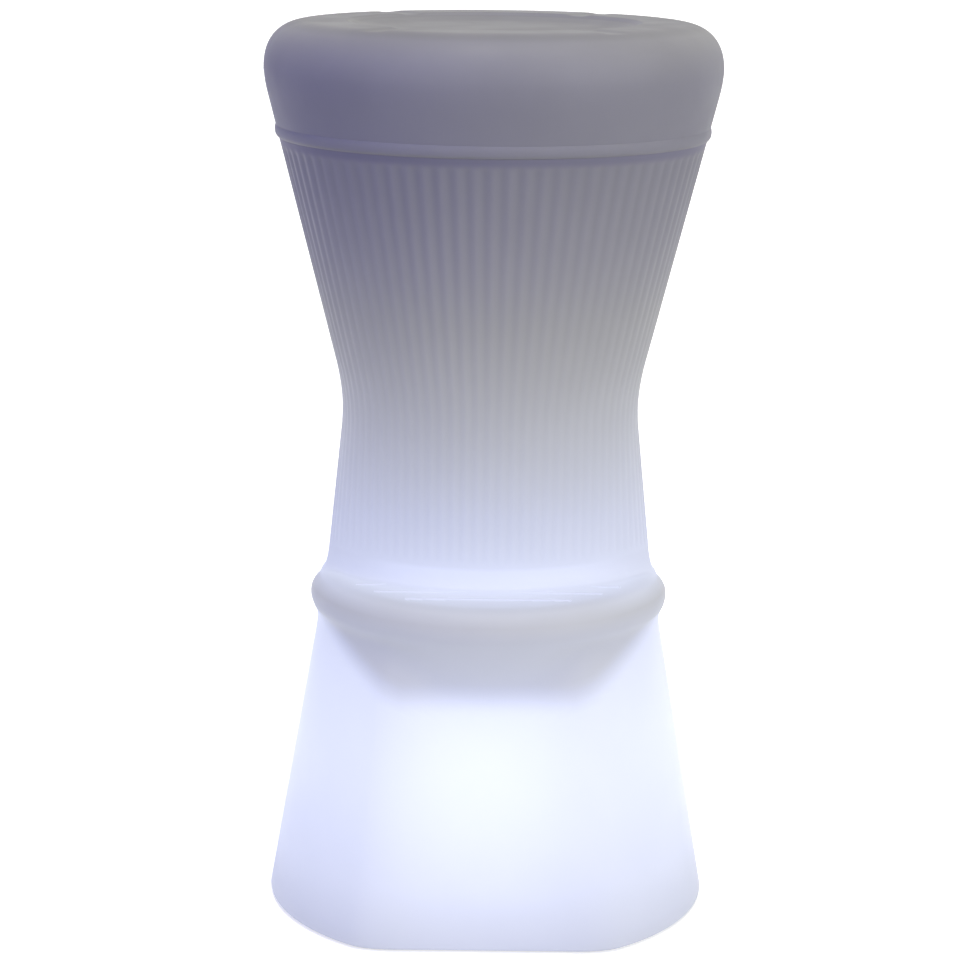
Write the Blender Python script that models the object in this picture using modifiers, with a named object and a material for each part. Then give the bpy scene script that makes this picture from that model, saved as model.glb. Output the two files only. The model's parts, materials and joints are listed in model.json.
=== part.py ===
"""LED light-up bar stool: a ribbed, hollow moulded shell with a footrest ledge and a lamp unit in its base.

Metres, +Z up. The origin is on the floor under the middle of the stool, and the footrest faces -Y.
"""
from math import asin, atan2, cos, hypot, pi, radians, sin, sqrt, tan

import bmesh
import bpy
from mathutils import Matrix, Vector

# Whole stool
STOOL_HEIGHT = 0.760
SEAT_RADIUS = 0.1914
BASE_RADIUS = 0.1919
WALL = 0.005
FIT_GAP = 0.0003
OVERRUN = 0.002
MERGE = 0.00001

# Seat: shoulder, dish and drain notches
SEAT_DEPTH = 0.0394
SHOULDER_RUN = 0.0385
SHOULDER_FULLNESS = 2.35
SHOULDER_TURNS = (0, 22, 42, 62, 90)
SEAT_EDGE_BLEND = 0.003
SEAT_UNDER_DROP = 0.0085
RIM_WIDTH = 0.0304
DISH_DEPTH = 0.008
DISH_RADIUS_SHARES = (0.42, 0.82, 0.96)
DISH_DEPTH_SHARES = (1.0, 0.80, 0.36)
NOTCH_WIDTH = 0.024
NOTCH_DEPTH = 0.003
NOTCH_LEAD = 0.0145
NOTCH_COUNT = 4

# Bead under the seat
BEAD_DROP = 0.052
BEAD_SIZE = 0.0076
BEAD_PROUD = 0.0021
BEAD_CROWN_SHARE = 0.32

# Column: an upper cone, a waist, and below it a round back with a scooped front
SEAT_OVERHANG = 0.0114
WAIST_HEIGHT = 0.4447
WAIST_RADIUS = 0.1243
WAIST_BLEND = 0.0305
RIB_COUNT = 80
RIB_DEPTH = 0.0012
RIB_RUN_IN = 0.008
RIB_SPREAD = 5

# Footrest ledge: cove, tread, rolled lip and the undercut chin
TREAD_HEIGHT = 0.292
SIDE_FLARE = 0.016
SCOOP_DEPTH = 0.0475
COVE_RADIUS = 0.020
COVE_LEAST_SHARE = 0.3
COVE_MIDDLE_SHARE = 0.5
LIP_OVERHANG = 0.0137
LIP_ROLL = 0.020
LIP_TURNS = (40, 70, 95)
LIP_START_SHARE = 0.4
CHIN_ANGLE = radians(25.5)
CHIN_BLEND = 0.014
CHIN_BLEND_SHARE = 0.6
CHIN_MIDDLE_SHARE = 0.5
LIP_FADE_START = radians(85)
LIP_FADE_END = radians(118)
RIDGE_INSET = 0.044
RIDGE_PITCH = 0.022
RIDGE_COUNT = 3
RIDGE_MARGIN = 0.004
RIDGE_WIDTH = 0.0032
RIDGE_PROUD = 0.0012
RIDGE_TOP_SHARE = 0.45

# Base: a cone with a flattened front, standing on a foot ring round a recess
FRONT_FLAT = 0.0289
FRONT_LEAN = 0.0179
BASE_CORNER = 0.012
BASE_EDGE = 0.003
BASE_FACING_SHARE = 0.2
FRONT_RING = 0.017
RECESS_DRAFT = 0.005
RECESS_TOP = 0.030
LAMP_OPENING_RADIUS = 0.062

# Rubber feet
FOOT_PAD_RADIUS = 0.010
FOOT_PAD_PROUD = 0.0015
FOOT_POCKET_DEPTH = 0.003
FOOT_PAD_COUNT = 4

# Lamp fastening: bosses on the shell, inserts, screws and a gasket
LAMP_SCREW_COUNT = 4
LAMP_SCREW_MARGIN = 0.008
BOSS_RADIUS = 0.0066
BOSS_RISE = 0.009
INSERT_RADIUS = 0.0032
INSERT_BORE = 0.0019
INSERT_LENGTH = 0.0095
INSERT_SET_BACK = 0.0008
LAMP_SCREW_RADIUS = 0.0016
LAMP_SCREW_HEAD_RADIUS = 0.0038
LAMP_SCREW_HEAD = 0.0024
LAMP_SCREW_REACH = 0.009
GASKET_THICKNESS = 0.0016
GASKET_MARGIN = 0.0012

# Lamp base: flange, cup, spigot and posts
FLANGE_MARGIN = 0.008
FLANGE_THICKNESS = 0.0035
CUP_CLEARANCE = 0.004
CUP_WALL = 0.004
CUP_RISE = 0.030
SPIGOT_WALL = 0.0015
SPIGOT_RISE = 0.006
PLATE_POST_RADIUS = 0.0035
PLATE_POST_INSET = 0.0085
PLATE_POST_RISE = 0.0287
PLATE_POST_COUNT = 4
BOARD_POST_RADIUS = 0.003
BOARD_POST_RISE = 0.010
BOARD_POST_INSET = 0.0042

# Small screws of the boards
SMALL_SCREW_RADIUS = 0.0011
SMALL_SCREW_HEAD_RADIUS = 0.0023
SMALL_SCREW_HEAD = 0.0015
SMALL_SCREW_REACH = 0.006

# Control board and what is on it
BOARD_SIZE = (0.044, 0.026, 0.0016)
BOARD_PLACE = (-0.006, -0.026)
CHIP_SIZE = (0.007, 0.005, 0.0014)
CHIP_SPAN = 0.012
CHIP_COUNT = 2

# Power button and its switch
BUTTON_PLACE = (-0.012, -0.026)
BUTTON_RADIUS = 0.0065
BUTTON_PROUD = 0.0008
BUTTON_COLLAR_RADIUS = 0.0080
BUTTON_COLLAR = 0.0014
BUTTON_STEM_RADIUS = 0.003
BUTTON_DISH = 0.0006
SWITCH_SIDE = 0.0062
SWITCH_HEIGHT = 0.0036
PLUNGER_RADIUS = 0.0017
PLUNGER_LENGTH = 0.0030
PLUNGER_PROUD = 0.0012
SWITCH_BORE_DEPTH = 0.0030

# Charge indicator
INDICATOR_PLACE = (0.006, -0.026)
INDICATOR_RADIUS = 0.0016
INDICATOR_COLLAR_RADIUS = 0.0029
INDICATOR_COLLAR = 0.0012
INDICATOR_REACH = 0.0080

# Charging inlet
INLET_PLACE = (0.030, -0.022)
INLET_BODY_RADIUS = 0.0045
INLET_FLANGE_RADIUS = 0.0062
INLET_FLANGE = 0.0010
INLET_RISE = 0.0125
INLET_BORE = 0.0029
INLET_BORE_DEPTH = 0.0100
INLET_PIN_RADIUS = 0.00105
INLET_PIN_SET_BACK = 0.0012
INLET_PIN_ROOT = 0.0025
INLET_NUT_RADIUS = 0.0076
INLET_NUT = 0.0024
INLET_NUT_SIDES = 6

# Door over the inlet, with its hinge
DOOR_THICKNESS = 0.0020
DOOR_WIDTH = 0.018
DOOR_MARGIN = 0.0008
DOOR_DROP = 0.0005
HINGE_REACH = 0.0105
HINGE_STANDOFF = 0.0036
KNUCKLE_RADIUS = 0.0023
KNUCKLE_WIDTH = 0.0105
HINGE_PIN_RADIUS = 0.00115
HINGE_EAR_RADIUS = 0.0028
HINGE_EAR_WIDTH = 0.0020

# Battery
CELL_RADIUS = 0.0092
CELL_LENGTH = 0.065
CELL_COUNT = 2
TRAY_WALL = 0.0015
TRAY_HEIGHT = 0.0095
TRAY_MIDDLE = 0.0195
STRAP_WIDTH = 0.012
STRAP_THICKNESS = 0.0008

# Light plate, chips and receiver
LIGHT_PLATE_CLEARANCE = 0.0018
LIGHT_PLATE_THICKNESS = 0.0015
LIGHT_CHIP_SIZE = (0.005, 0.005, 0.0014)
LIGHT_RING_RADIUS = 0.030
LIGHT_CHIP_COUNT = 8
RECEIVER_SIZE = (0.0066, 0.0050, 0.0058)
RECEIVER_LENS_RADIUS = 0.0019

# Leads
LEAD_RADIUS = 0.0007
LEAD_POINTS = 9

# Dome
DOME_WALL = 0.0020
DOME_SEAL_THICKNESS = 0.0016
DOME_SKIRT = 0.012
DOME_RISE = 0.040
DOME_TURNS = (25, 55)

# Faceting
SHELL_COLUMNS = 80
CAVITY_COLUMNS = 40
DISH_COLUMNS = 40
LAMP_STEPS = 28
ROUND_STEPS = 20
SMALL_STEPS = 12
TINY_STEPS = 8
TINY_RINGS = 6
SMOOTH_ANGLE = radians(35)

# Levels and radii of the shell, worked out from the sizes above
SEAT_WIDEST_HEIGHT = STOOL_HEIGHT - SEAT_DEPTH
BEAD_HEIGHT = SEAT_WIDEST_HEIGHT - BEAD_DROP
DISH_RADIUS = SEAT_RADIUS - SHOULDER_RUN - RIM_WIDTH
NOTCH_START = DISH_RADIUS - NOTCH_LEAD
COLUMN_TOP_RADIUS = SEAT_RADIUS - SEAT_OVERHANG
LEDGE_SIDE_RADIUS = WAIST_RADIUS + SIDE_FLARE
SCOOP_FRONT = WAIST_RADIUS - SCOOP_DEPTH
LIP_RADIUS = LEDGE_SIDE_RADIUS + LIP_OVERHANG
LIP_CENTRE_RADIUS = LIP_RADIUS - LIP_ROLL
RIDGE_FRONT = LIP_RADIUS - RIDGE_INSET
BASE_FRONT = BASE_RADIUS - FRONT_FLAT
BASE_FRONT_AT_TREAD = LEDGE_SIDE_RADIUS - FRONT_LEAN
RECESS_RADIUS = BASE_FRONT - FRONT_RING - RECESS_DRAFT
UPPER_SLOPE = (COLUMN_TOP_RADIUS - WAIST_RADIUS) / (BEAD_HEIGHT - WAIST_HEIGHT)
SIDE_SLOPE = SIDE_FLARE / (WAIST_HEIGHT - TREAD_HEIGHT)
SCOOP_SLOPE = -SCOOP_DEPTH / (WAIST_HEIGHT - TREAD_HEIGHT)
BASE_SLOPE = (BASE_RADIUS - LEDGE_SIDE_RADIUS) / TREAD_HEIGHT
BASE_FRONT_SLOPE = (BASE_FRONT - BASE_FRONT_AT_TREAD) / TREAD_HEIGHT

# Levels and radii of the lamp unit, worked out from the shell's recess and opening
LAMP_SCREW_CIRCLE = LAMP_OPENING_RADIUS + LAMP_SCREW_MARGIN
FLANGE_RADIUS = LAMP_SCREW_CIRCLE + FLANGE_MARGIN
CUP_RADIUS = LAMP_OPENING_RADIUS - CUP_CLEARANCE
CUP_BORE = CUP_RADIUS - CUP_WALL
PLATE_POST_CIRCLE = CUP_BORE - PLATE_POST_INSET
LIGHT_PLATE_RADIUS = CUP_BORE - LIGHT_PLATE_CLEARANCE
CAVITY_FLOOR = RECESS_TOP + WALL
FLANGE_TOP = RECESS_TOP - GASKET_THICKNESS - 2 * FIT_GAP
FLANGE_BOTTOM = FLANGE_TOP - FLANGE_THICKNESS
CUP_SHOULDER = FLANGE_TOP + CUP_RISE
BOARD_BOTTOM = FLANGE_TOP + BOARD_POST_RISE + FIT_GAP
BOARD_TOP = BOARD_BOTTOM + BOARD_SIZE[2]
LIGHT_PLATE_BOTTOM = FLANGE_TOP + PLATE_POST_RISE + FIT_GAP
LIGHT_PLATE_TOP = LIGHT_PLATE_BOTTOM + LIGHT_PLATE_THICKNESS
HINGE_HEIGHT = FLANGE_BOTTOM - HINGE_STANDOFF
HINGE_X = INLET_PLACE[0] + HINGE_REACH
TRAY_BOTTOM = FLANGE_TOP + FIT_GAP
CELL_PITCH = 2 * CELL_RADIUS + FIT_GAP
CELL_CENTRE_HEIGHT = TRAY_BOTTOM + TRAY_WALL + FIT_GAP + CELL_RADIUS

PARTS = None
CUTTERS = None


def clear_scene():
    """Empty the scene and make the two collections."""
    global PARTS, CUTTERS
    for item in list(bpy.data.objects):
        bpy.data.objects.remove(item, do_unlink=True)
    PARTS = bpy.data.collections.new("led_light_up_stool")
    CUTTERS = bpy.data.collections.new("cutters")
    for group in (PARTS, CUTTERS):
        bpy.context.scene.collection.children.link(group)


def make_material(name, colour, roughness, metallic=0.0):
    """Principled material with a colour, a roughness and a metallic value."""
    material = bpy.data.materials.new(name)
    material.use_nodes = True
    shader = material.node_tree.nodes["Principled BSDF"]
    shader.inputs["Base Color"].default_value = (*colour, 1.0)
    shader.inputs["Roughness"].default_value = roughness
    shader.inputs["Metallic"].default_value = metallic
    material.diffuse_color = (*colour, 1.0)
    return material


def add_part(name, mesh, material):
    """Put a mesh in the parts collection as a named, smooth-shaded object."""
    mesh.materials.clear()
    mesh.materials.append(material)
    mesh.shade_smooth()
    mesh.set_sharp_from_angle(angle=SMOOTH_ANGLE)
    part = bpy.data.objects.new(name, mesh)
    PARTS.objects.link(part)
    return part


def add_copies(name, mesh, places, material, turns=None):
    """Put a piece that is modelled on the axis at several places, one numbered object each."""
    for index, place in enumerate(places):
        copy = add_part(f"{name}_{index + 1}", mesh, material)
        copy.location = (*place, 0.0)
        copy.rotation_euler.z = turns[index] if turns else 0.0


def add_cutter(name, mesh):
    """Put a mesh in the cutters collection as a hidden wire object."""
    cutter = bpy.data.objects.new(name, mesh)
    cutter.hide_render = True
    cutter.display_type = "WIRE"
    CUTTERS.objects.link(cutter)
    return cutter


def combine(part, cutter, operation):
    """Cut a part with a cutter, or join the two."""
    modifier = part.modifiers.new(cutter.name, "BOOLEAN")
    modifier.operation = operation
    modifier.solver = "EXACT"
    modifier.object = cutter


def finish_mesh(name, work):
    """Turn a bmesh into a mesh whose faces point out."""
    bmesh.ops.recalc_face_normals(work, faces=work.faces)
    mesh = bpy.data.meshes.new(name)
    work.to_mesh(mesh)
    work.free()
    return mesh


def peg_mesh(name, places, radius, bottom, top, steps=SMALL_STEPS, top_radius=None):
    """Upright cylinders or cones of one size at several places."""
    work = bmesh.new()
    for x, y in places:
        bmesh.ops.create_cone(
            work, cap_ends=True, segments=steps, radius1=radius,
            radius2=radius if top_radius is None else top_radius, depth=top - bottom,
            matrix=Matrix.Translation((x, y, (bottom + top) / 2)))
    return finish_mesh(name, work)


def block_mesh(name, places, size, turns=None):
    """Boxes of one size, each centred on a place and turned about +Z."""
    work = bmesh.new()
    for index, place in enumerate(places):
        turn = Matrix.Rotation(turns[index] if turns else 0.0, 4, "Z")
        bmesh.ops.create_cube(
            work, size=1.0, matrix=Matrix.Translation(place) @ turn @ Matrix.Diagonal((*size, 1.0)))
    return finish_mesh(name, work)


def turned_mesh(name, profile, steps, place=(0.0, 0.0)):
    """Closed body of revolution; the profile runs down its outer side."""
    outline = bpy.data.meshes.new(name + "_profile")
    outline.from_pydata(
        [(radius, 0.0, height) for radius, height in profile],
        [(index, index + 1) for index in range(len(profile) - 1)]
        + ([(len(profile) - 1, 0)] if profile[0][0] > 0.0 else []), [])
    turning = bpy.data.objects.new(name + "_turning", outline)
    CUTTERS.objects.link(turning)
    screw = turning.modifiers.new("turn", "SCREW")
    screw.steps = steps
    screw.render_steps = steps
    screw.use_merge_vertices = True
    screw.merge_threshold = MERGE
    bpy.context.view_layer.update()
    mesh = bpy.data.meshes.new_from_object(turning.evaluated_get(bpy.context.evaluated_depsgraph_get()))
    bpy.data.objects.remove(turning, do_unlink=True)
    mesh.name = name
    mesh.transform(Matrix.Translation((*place, 0.0)))
    return mesh


def circle_places(count, radius, start=0.0):
    """Evenly spaced places on a circle about the stool's axis, as (x, y)."""
    return [(radius * cos(start + 2 * pi * index / count), radius * sin(start + 2 * pi * index / count))
            for index in range(count)]


def polar(radius, angle, height):
    """Point at an angle turned from the front of the stool towards +X."""
    return Vector((radius * sin(angle), -radius * cos(angle), height))


def bezier(start, corner, end, share):
    """Point on the quadratic curve that rounds a corner."""
    return start * (1 - share) ** 2 + corner * (2 * share * (1 - share)) + end * share ** 2


def rounded_least(first, second, width):
    """The smaller of two values, with their crossing rounded over a width."""
    overlap = max(width - abs(first - second), 0.0) / width
    return min(first, second) - overlap ** 2 * width / 4


def column_radius(height, slope_below):
    """Radius of the column: the upper cone, the waist blend and the slope below the waist."""
    level = (height - WAIST_HEIGHT) / WAIST_BLEND
    if level >= 1:
        return WAIST_RADIUS + UPPER_SLOPE * (height - WAIST_HEIGHT)
    if level <= -1:
        return WAIST_RADIUS + slope_below * (WAIST_HEIGHT - height)
    return WAIST_RADIUS + (UPPER_SLOPE * (1 + level) ** 2 + slope_below * (1 - level) ** 2) * WAIST_BLEND / 4


def scoop_arc(height):
    """Radius and centre of the flat arc that draws in the column's front."""
    side = column_radius(height, SIDE_SLOPE)
    front = column_radius(height, SCOOP_SLOPE)
    return (side ** 2 / front + front) / 2, (side ** 2 / front - front) / 2


def column_point(angle, height):
    """Point of the column before its ribs; below the waist the front ribs run parallel."""
    side = column_radius(height, SIDE_SLOPE)
    if cos(angle) <= 0 or height >= WAIST_HEIGHT + WAIST_BLEND:
        return polar(side, angle, height)
    narrow = side if height >= WAIST_HEIGHT else column_radius(WAIST_HEIGHT, SIDE_SLOPE)
    across = narrow * sin(angle) + (side - narrow) * sin(angle) ** RIB_SPREAD
    arc_radius, arc_centre = scoop_arc(height)
    return Vector((across, arc_centre - sqrt(max(arc_radius ** 2 - across ** 2, 0.0)), height))


def base_radius(height, angle):
    """Radius of the base cone, cut flat at the front."""
    round_radius = BASE_RADIUS - BASE_SLOPE * height
    if cos(angle) <= BASE_FACING_SHARE:
        return round_radius
    flat_radius = (BASE_FRONT - BASE_FRONT_SLOPE * height) / cos(angle)
    return rounded_least(round_radius, flat_radius, BASE_CORNER)


def ledge_curve(run):
    """Radius and height on the tread and the rolled lip, by the distance run out along them."""
    past = (run - LIP_CENTRE_RADIUS) / LIP_ROLL
    if past <= 0:
        return run, TREAD_HEIGHT
    return LIP_CENTRE_RADIUS + LIP_ROLL * sin(past), TREAD_HEIGHT - LIP_ROLL * (1 - cos(past))


def ledge_points(angle):
    """Points down the front: cove, tread, rolled lip, chin and the start of the base."""
    angle = atan2(sin(angle), cos(angle))
    inner = column_point(angle, TREAD_HEIGHT)
    inner_radius = hypot(inner.x, inner.y)
    inner_angle = atan2(inner.x, -inner.y)
    inner_run = inner_radius
    if inner_radius > LIP_CENTRE_RADIUS:
        inner_run = LIP_CENTRE_RADIUS + LIP_ROLL * asin(min((inner_radius - LIP_CENTRE_RADIUS) / LIP_ROLL, 1.0))
    roll_runs = [LIP_CENTRE_RADIUS + LIP_ROLL * radians(degrees) for degrees in LIP_TURNS]
    roll_runs.append(LIP_CENTRE_RADIUS + LIP_ROLL * (pi / 2 + CHIN_ANGLE))
    cove_leg = min(COVE_RADIUS, max((LIP_CENTRE_RADIUS - inner_run) / 2, COVE_RADIUS * COVE_LEAST_SHARE))
    cove_run = inner_run + cove_leg
    lip_run = max(LIP_CENTRE_RADIUS, cove_run + LIP_START_SHARE * (roll_runs[0] - cove_run))

    def on_ledge(run):
        share = min((run - inner_run) / (roll_runs[0] - inner_run), 1.0)
        radius, height = ledge_curve(run)
        return polar(radius, inner_angle + (angle - inner_angle) * share, height)

    cove_top = column_point(angle, TREAD_HEIGHT + COVE_RADIUS)
    corner = on_ledge(inner_run)
    points = [bezier(cove_top, corner, on_ledge(cove_run), COVE_MIDDLE_SHARE)]
    points += [on_ledge(run) for run in (cove_run, (cove_run + lip_run) / 2, lip_run, *roll_runs)]

    chin_radius, chin_height = ledge_curve(roll_runs[-1])
    low = base_radius(0.0, angle)
    high = base_radius(chin_height, angle)
    drop = (chin_radius - high) / (tan(CHIN_ANGLE) + (low - high) / chin_height)
    meet = chin_height - drop
    leg = min(CHIN_BLEND, drop * CHIN_BLEND_SHARE)
    chin_start = polar(chin_radius - tan(CHIN_ANGLE) * (drop - leg), angle, meet + leg)
    chin_corner = polar(base_radius(meet, angle), angle, meet)
    chin_end = polar(base_radius(meet - CHIN_BLEND, angle), angle, meet - CHIN_BLEND)
    points += [chin_start, bezier(chin_start, chin_corner, chin_end, CHIN_MIDDLE_SHARE), chin_end]
    return points


def back_points(angle, count, gathered):
    """As many points down the plain back as the front has round its ledge, evenly or gathered on three levels."""
    top = TREAD_HEIGHT + COVE_RADIUS
    bottom = TREAD_HEIGHT - 4 * LIP_ROLL
    levels = (top, TREAD_HEIGHT, bottom)
    points = []
    for index in range(1, count + 1):
        share = index / count
        height = levels[round((len(levels) - 1) * share)] if gathered else top + (bottom - top) * share
        radius = column_radius(height, SIDE_SLOPE) if height > TREAD_HEIGHT else base_radius(height, angle)
        points.append(polar(radius, angle, height))
    return points


def side_points(angle):
    """Ledge points at the front, plain points behind, and a smooth fade between them."""
    turned = abs(atan2(sin(angle), cos(angle)))
    fade = min(max((turned - LIP_FADE_START) / (LIP_FADE_END - LIP_FADE_START), 0.0), 1.0)
    front = ledge_points(angle)
    back = back_points(angle, len(front), fade == 1.0)
    fade = fade * fade * (3 - 2 * fade)
    return [near.lerp(far, fade) for near, far in zip(front, back)]


def shoulder_point(angle, turn):
    """Point on the seat's full, rounded shoulder; the turn runs from the rim to the widest place."""
    rise = STOOL_HEIGHT - SEAT_WIDEST_HEIGHT
    power = 2 / SHOULDER_FULLNESS
    return polar(SEAT_RADIUS - SHOULDER_RUN * (1 - sin(turn) ** power), angle,
                 SEAT_WIDEST_HEIGHT + rise * cos(turn) ** power)


def shell_rows(columns, ribbed):
    """Named rows of the shell's surface from the seat's dish down to the recess underneath."""
    def row(count, place):
        return [place(2 * pi * index / count) for index in range(count)]

    def turned_row(count, radius, height):
        return row(count, lambda angle: polar(radius, angle, height))

    def column_row(height, depth):
        count = 2 * RIB_COUNT if ribbed else columns
        points = row(count, lambda angle: column_point(angle, height))
        for point in points[1::2] if ribbed else []:
            inward = Vector((-point.x, -point.y, 0.0)).normalized()
            point += inward * depth
        return points

    dish_columns = min(columns, DISH_COLUMNS)
    rows = {}
    for index, (out, down) in enumerate(zip(DISH_RADIUS_SHARES, DISH_DEPTH_SHARES)):
        count = columns if index == len(DISH_RADIUS_SHARES) - 1 else dish_columns
        rows[f"dish_{index}"] = turned_row(count, DISH_RADIUS * out, STOOL_HEIGHT - DISH_DEPTH * down)
    rows["rim_inner"] = turned_row(columns, DISH_RADIUS, STOOL_HEIGHT)
    for index, degrees in enumerate(SHOULDER_TURNS):
        rows[f"shoulder_{index}"] = row(
            columns, lambda angle, turn=radians(degrees): shoulder_point(angle, turn))
    for index, drop in enumerate((SEAT_UNDER_DROP, 2 * SEAT_UNDER_DROP)):
        height = SEAT_WIDEST_HEIGHT - drop
        radius = rounded_least(column_radius(height, SIDE_SLOPE), SEAT_RADIUS, SEAT_EDGE_BLEND)
        rows[f"under_{index}"] = turned_row(columns, radius, height)
    half = BEAD_SIZE / 2
    for name, rise, proud in (("bead_top", half, 0.0), ("bead_high", half * BEAD_CROWN_SHARE, BEAD_PROUD),
                              ("bead_low", -half * BEAD_CROWN_SHARE, BEAD_PROUD), ("bead_foot", -half, 0.0)):
        height = BEAD_HEIGHT + rise
        rows[name] = turned_row(columns, column_radius(height, SIDE_SLOPE) + proud, height)
    ribs_top = BEAD_HEIGHT - BEAD_SIZE
    rows["rib_start"] = column_row(ribs_top, 0.0)
    rows["rib_full"] = column_row(ribs_top - RIB_RUN_IN, RIB_DEPTH)
    cove_top = TREAD_HEIGHT + COVE_RADIUS
    for name, height in (("waist_top", WAIST_HEIGHT + WAIST_BLEND), ("waist", WAIST_HEIGHT),
                         ("waist_foot", WAIST_HEIGHT - WAIST_BLEND),
                         ("rib_end", cove_top + RIB_RUN_IN)):
        rows[name] = column_row(height, RIB_DEPTH)
    rows["cove_top"] = row(columns, lambda angle: column_point(angle, cove_top))
    names = ("cove", "cove_foot", "tread", "lip_start", "roll_0", "roll_1", "roll_2", "roll_3",
             "chin_start", "chin", "chin_end")
    sides = row(columns, side_points)
    for index, name in enumerate(names):
        rows[name] = [points[index] for points in sides]
    floor = FOOT_PAD_PROUD
    rows["base_edge"] = row(columns, lambda angle: polar(base_radius(floor + BASE_EDGE, angle), angle,
                                                         floor + BASE_EDGE))
    rows["base_foot"] = row(columns, lambda angle: polar(base_radius(floor, angle) - BASE_EDGE, angle, floor))
    rows["recess_mouth"] = turned_row(CAVITY_COLUMNS, RECESS_RADIUS + RECESS_DRAFT, floor)
    rows["recess_top"] = turned_row(CAVITY_COLUMNS, RECESS_RADIUS, RECESS_TOP)
    return rows


def loft_mesh(name, rows, top, bottom):
    """Closed loft through rows of points, capped by a fan at each end; a row may have twice or half as many.

    Points of neighbouring rows that coincide are merged.
    """
    work = bmesh.new()
    rings = [[work.verts.new(point) for point in row] for row in rows]
    for upper, lower in zip(rings, rings[1:]):
        count = min(len(upper), len(lower))
        for index in range(count):
            following = (index + 1) % count
            if len(upper) == len(lower):
                work.faces.new((upper[index], upper[following], lower[following], lower[index]))
                continue
            few, many = (upper, lower) if len(upper) < len(lower) else (lower, upper)
            start, middle, end = many[2 * index], many[2 * index + 1], many[(2 * index + 2) % len(many)]
            work.faces.new((few[index], start, middle))
            work.faces.new((few[index], middle, few[following]))
            work.faces.new((few[following], middle, end))
    for ring, height in ((rings[0], top), (rings[-1], bottom)):
        centre = work.verts.new((0.0, 0.0, height))
        for index, corner in enumerate(ring):
            work.faces.new((centre, corner, ring[(index + 1) % len(ring)]))
    bmesh.ops.remove_doubles(work, verts=work.verts, dist=MERGE)
    return finish_mesh(name, work)


def cavity_mesh():
    """The shell's hollow: its own smooth surface, drawn in by the wall."""
    rows = shell_rows(CAVITY_COLUMNS, ribbed=False)
    kept = ("dish_0", "dish_1", "rim_inner", "shoulder_1", "shoulder_2", "shoulder_4", "under_1", "waist_top",
            "waist", "waist_foot", "cove_top", "cove", "cove_foot", "lip_start", "roll_1", "roll_3",
            "chin_start", "chin", "chin_end")
    outline = [rows[name] for name in kept]
    outline.append([polar(base_radius(FOOT_PAD_PROUD, 2 * pi * index / CAVITY_COLUMNS),
                          2 * pi * index / CAVITY_COLUMNS, FOOT_PAD_PROUD) for index in range(CAVITY_COLUMNS)])
    outline += [rows["recess_mouth"], rows["recess_top"]]
    mesh = loft_mesh("cavity", outline, STOOL_HEIGHT - DISH_DEPTH, RECESS_TOP)
    work = bmesh.new()
    work.from_mesh(mesh)
    work.normal_update()
    moved = [corner.co - corner.normal * (WALL * corner.calc_shell_factor()) for corner in work.verts]
    for corner, place in zip(work.verts, moved):
        corner.co = place
    return finish_mesh("cavity", work)


def ridge_mesh():
    """Straight anti-slip ridges across the tread; the ones behind stop at the column's wall."""
    half = RIDGE_WIDTH / 2
    bottom = TREAD_HEIGHT - RIDGE_PROUD
    top = TREAD_HEIGHT + RIDGE_PROUD
    arc_radius, arc_centre = scoop_arc(TREAD_HEIGHT)
    spans = []
    for index in range(RIDGE_COUNT):
        depth = RIDGE_FRONT - index * RIDGE_PITCH
        end = sqrt((LIP_CENTRE_RADIUS - RIDGE_MARGIN) ** 2 - depth ** 2)
        wall = (arc_radius - WALL / 2) ** 2 - (arc_centre + depth) ** 2
        if wall <= 0:
            spans.append((-end, end, depth))
            continue
        start = sqrt(wall)
        spans += [(start, end, depth), (-end, -start, depth)]
    work = bmesh.new()
    for low, high, depth in spans:
        corners = []
        for height, wide, in_by in ((bottom, half, 0.0), (top, half * RIDGE_TOP_SHARE, RIDGE_PROUD)):
            corners.append([work.verts.new(place) for place in (
                (low + in_by, -depth - wide, height), (high - in_by, -depth - wide, height),
                (high - in_by, -depth + wide, height), (low + in_by, -depth + wide, height))])
        under, over = corners
        work.faces.new(under)
        work.faces.new(over)
        for index in range(4):
            following = (index + 1) % 4
            work.faces.new((under[index], under[following], over[following], over[index]))
    return finish_mesh("tread_ridges", work)


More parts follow.
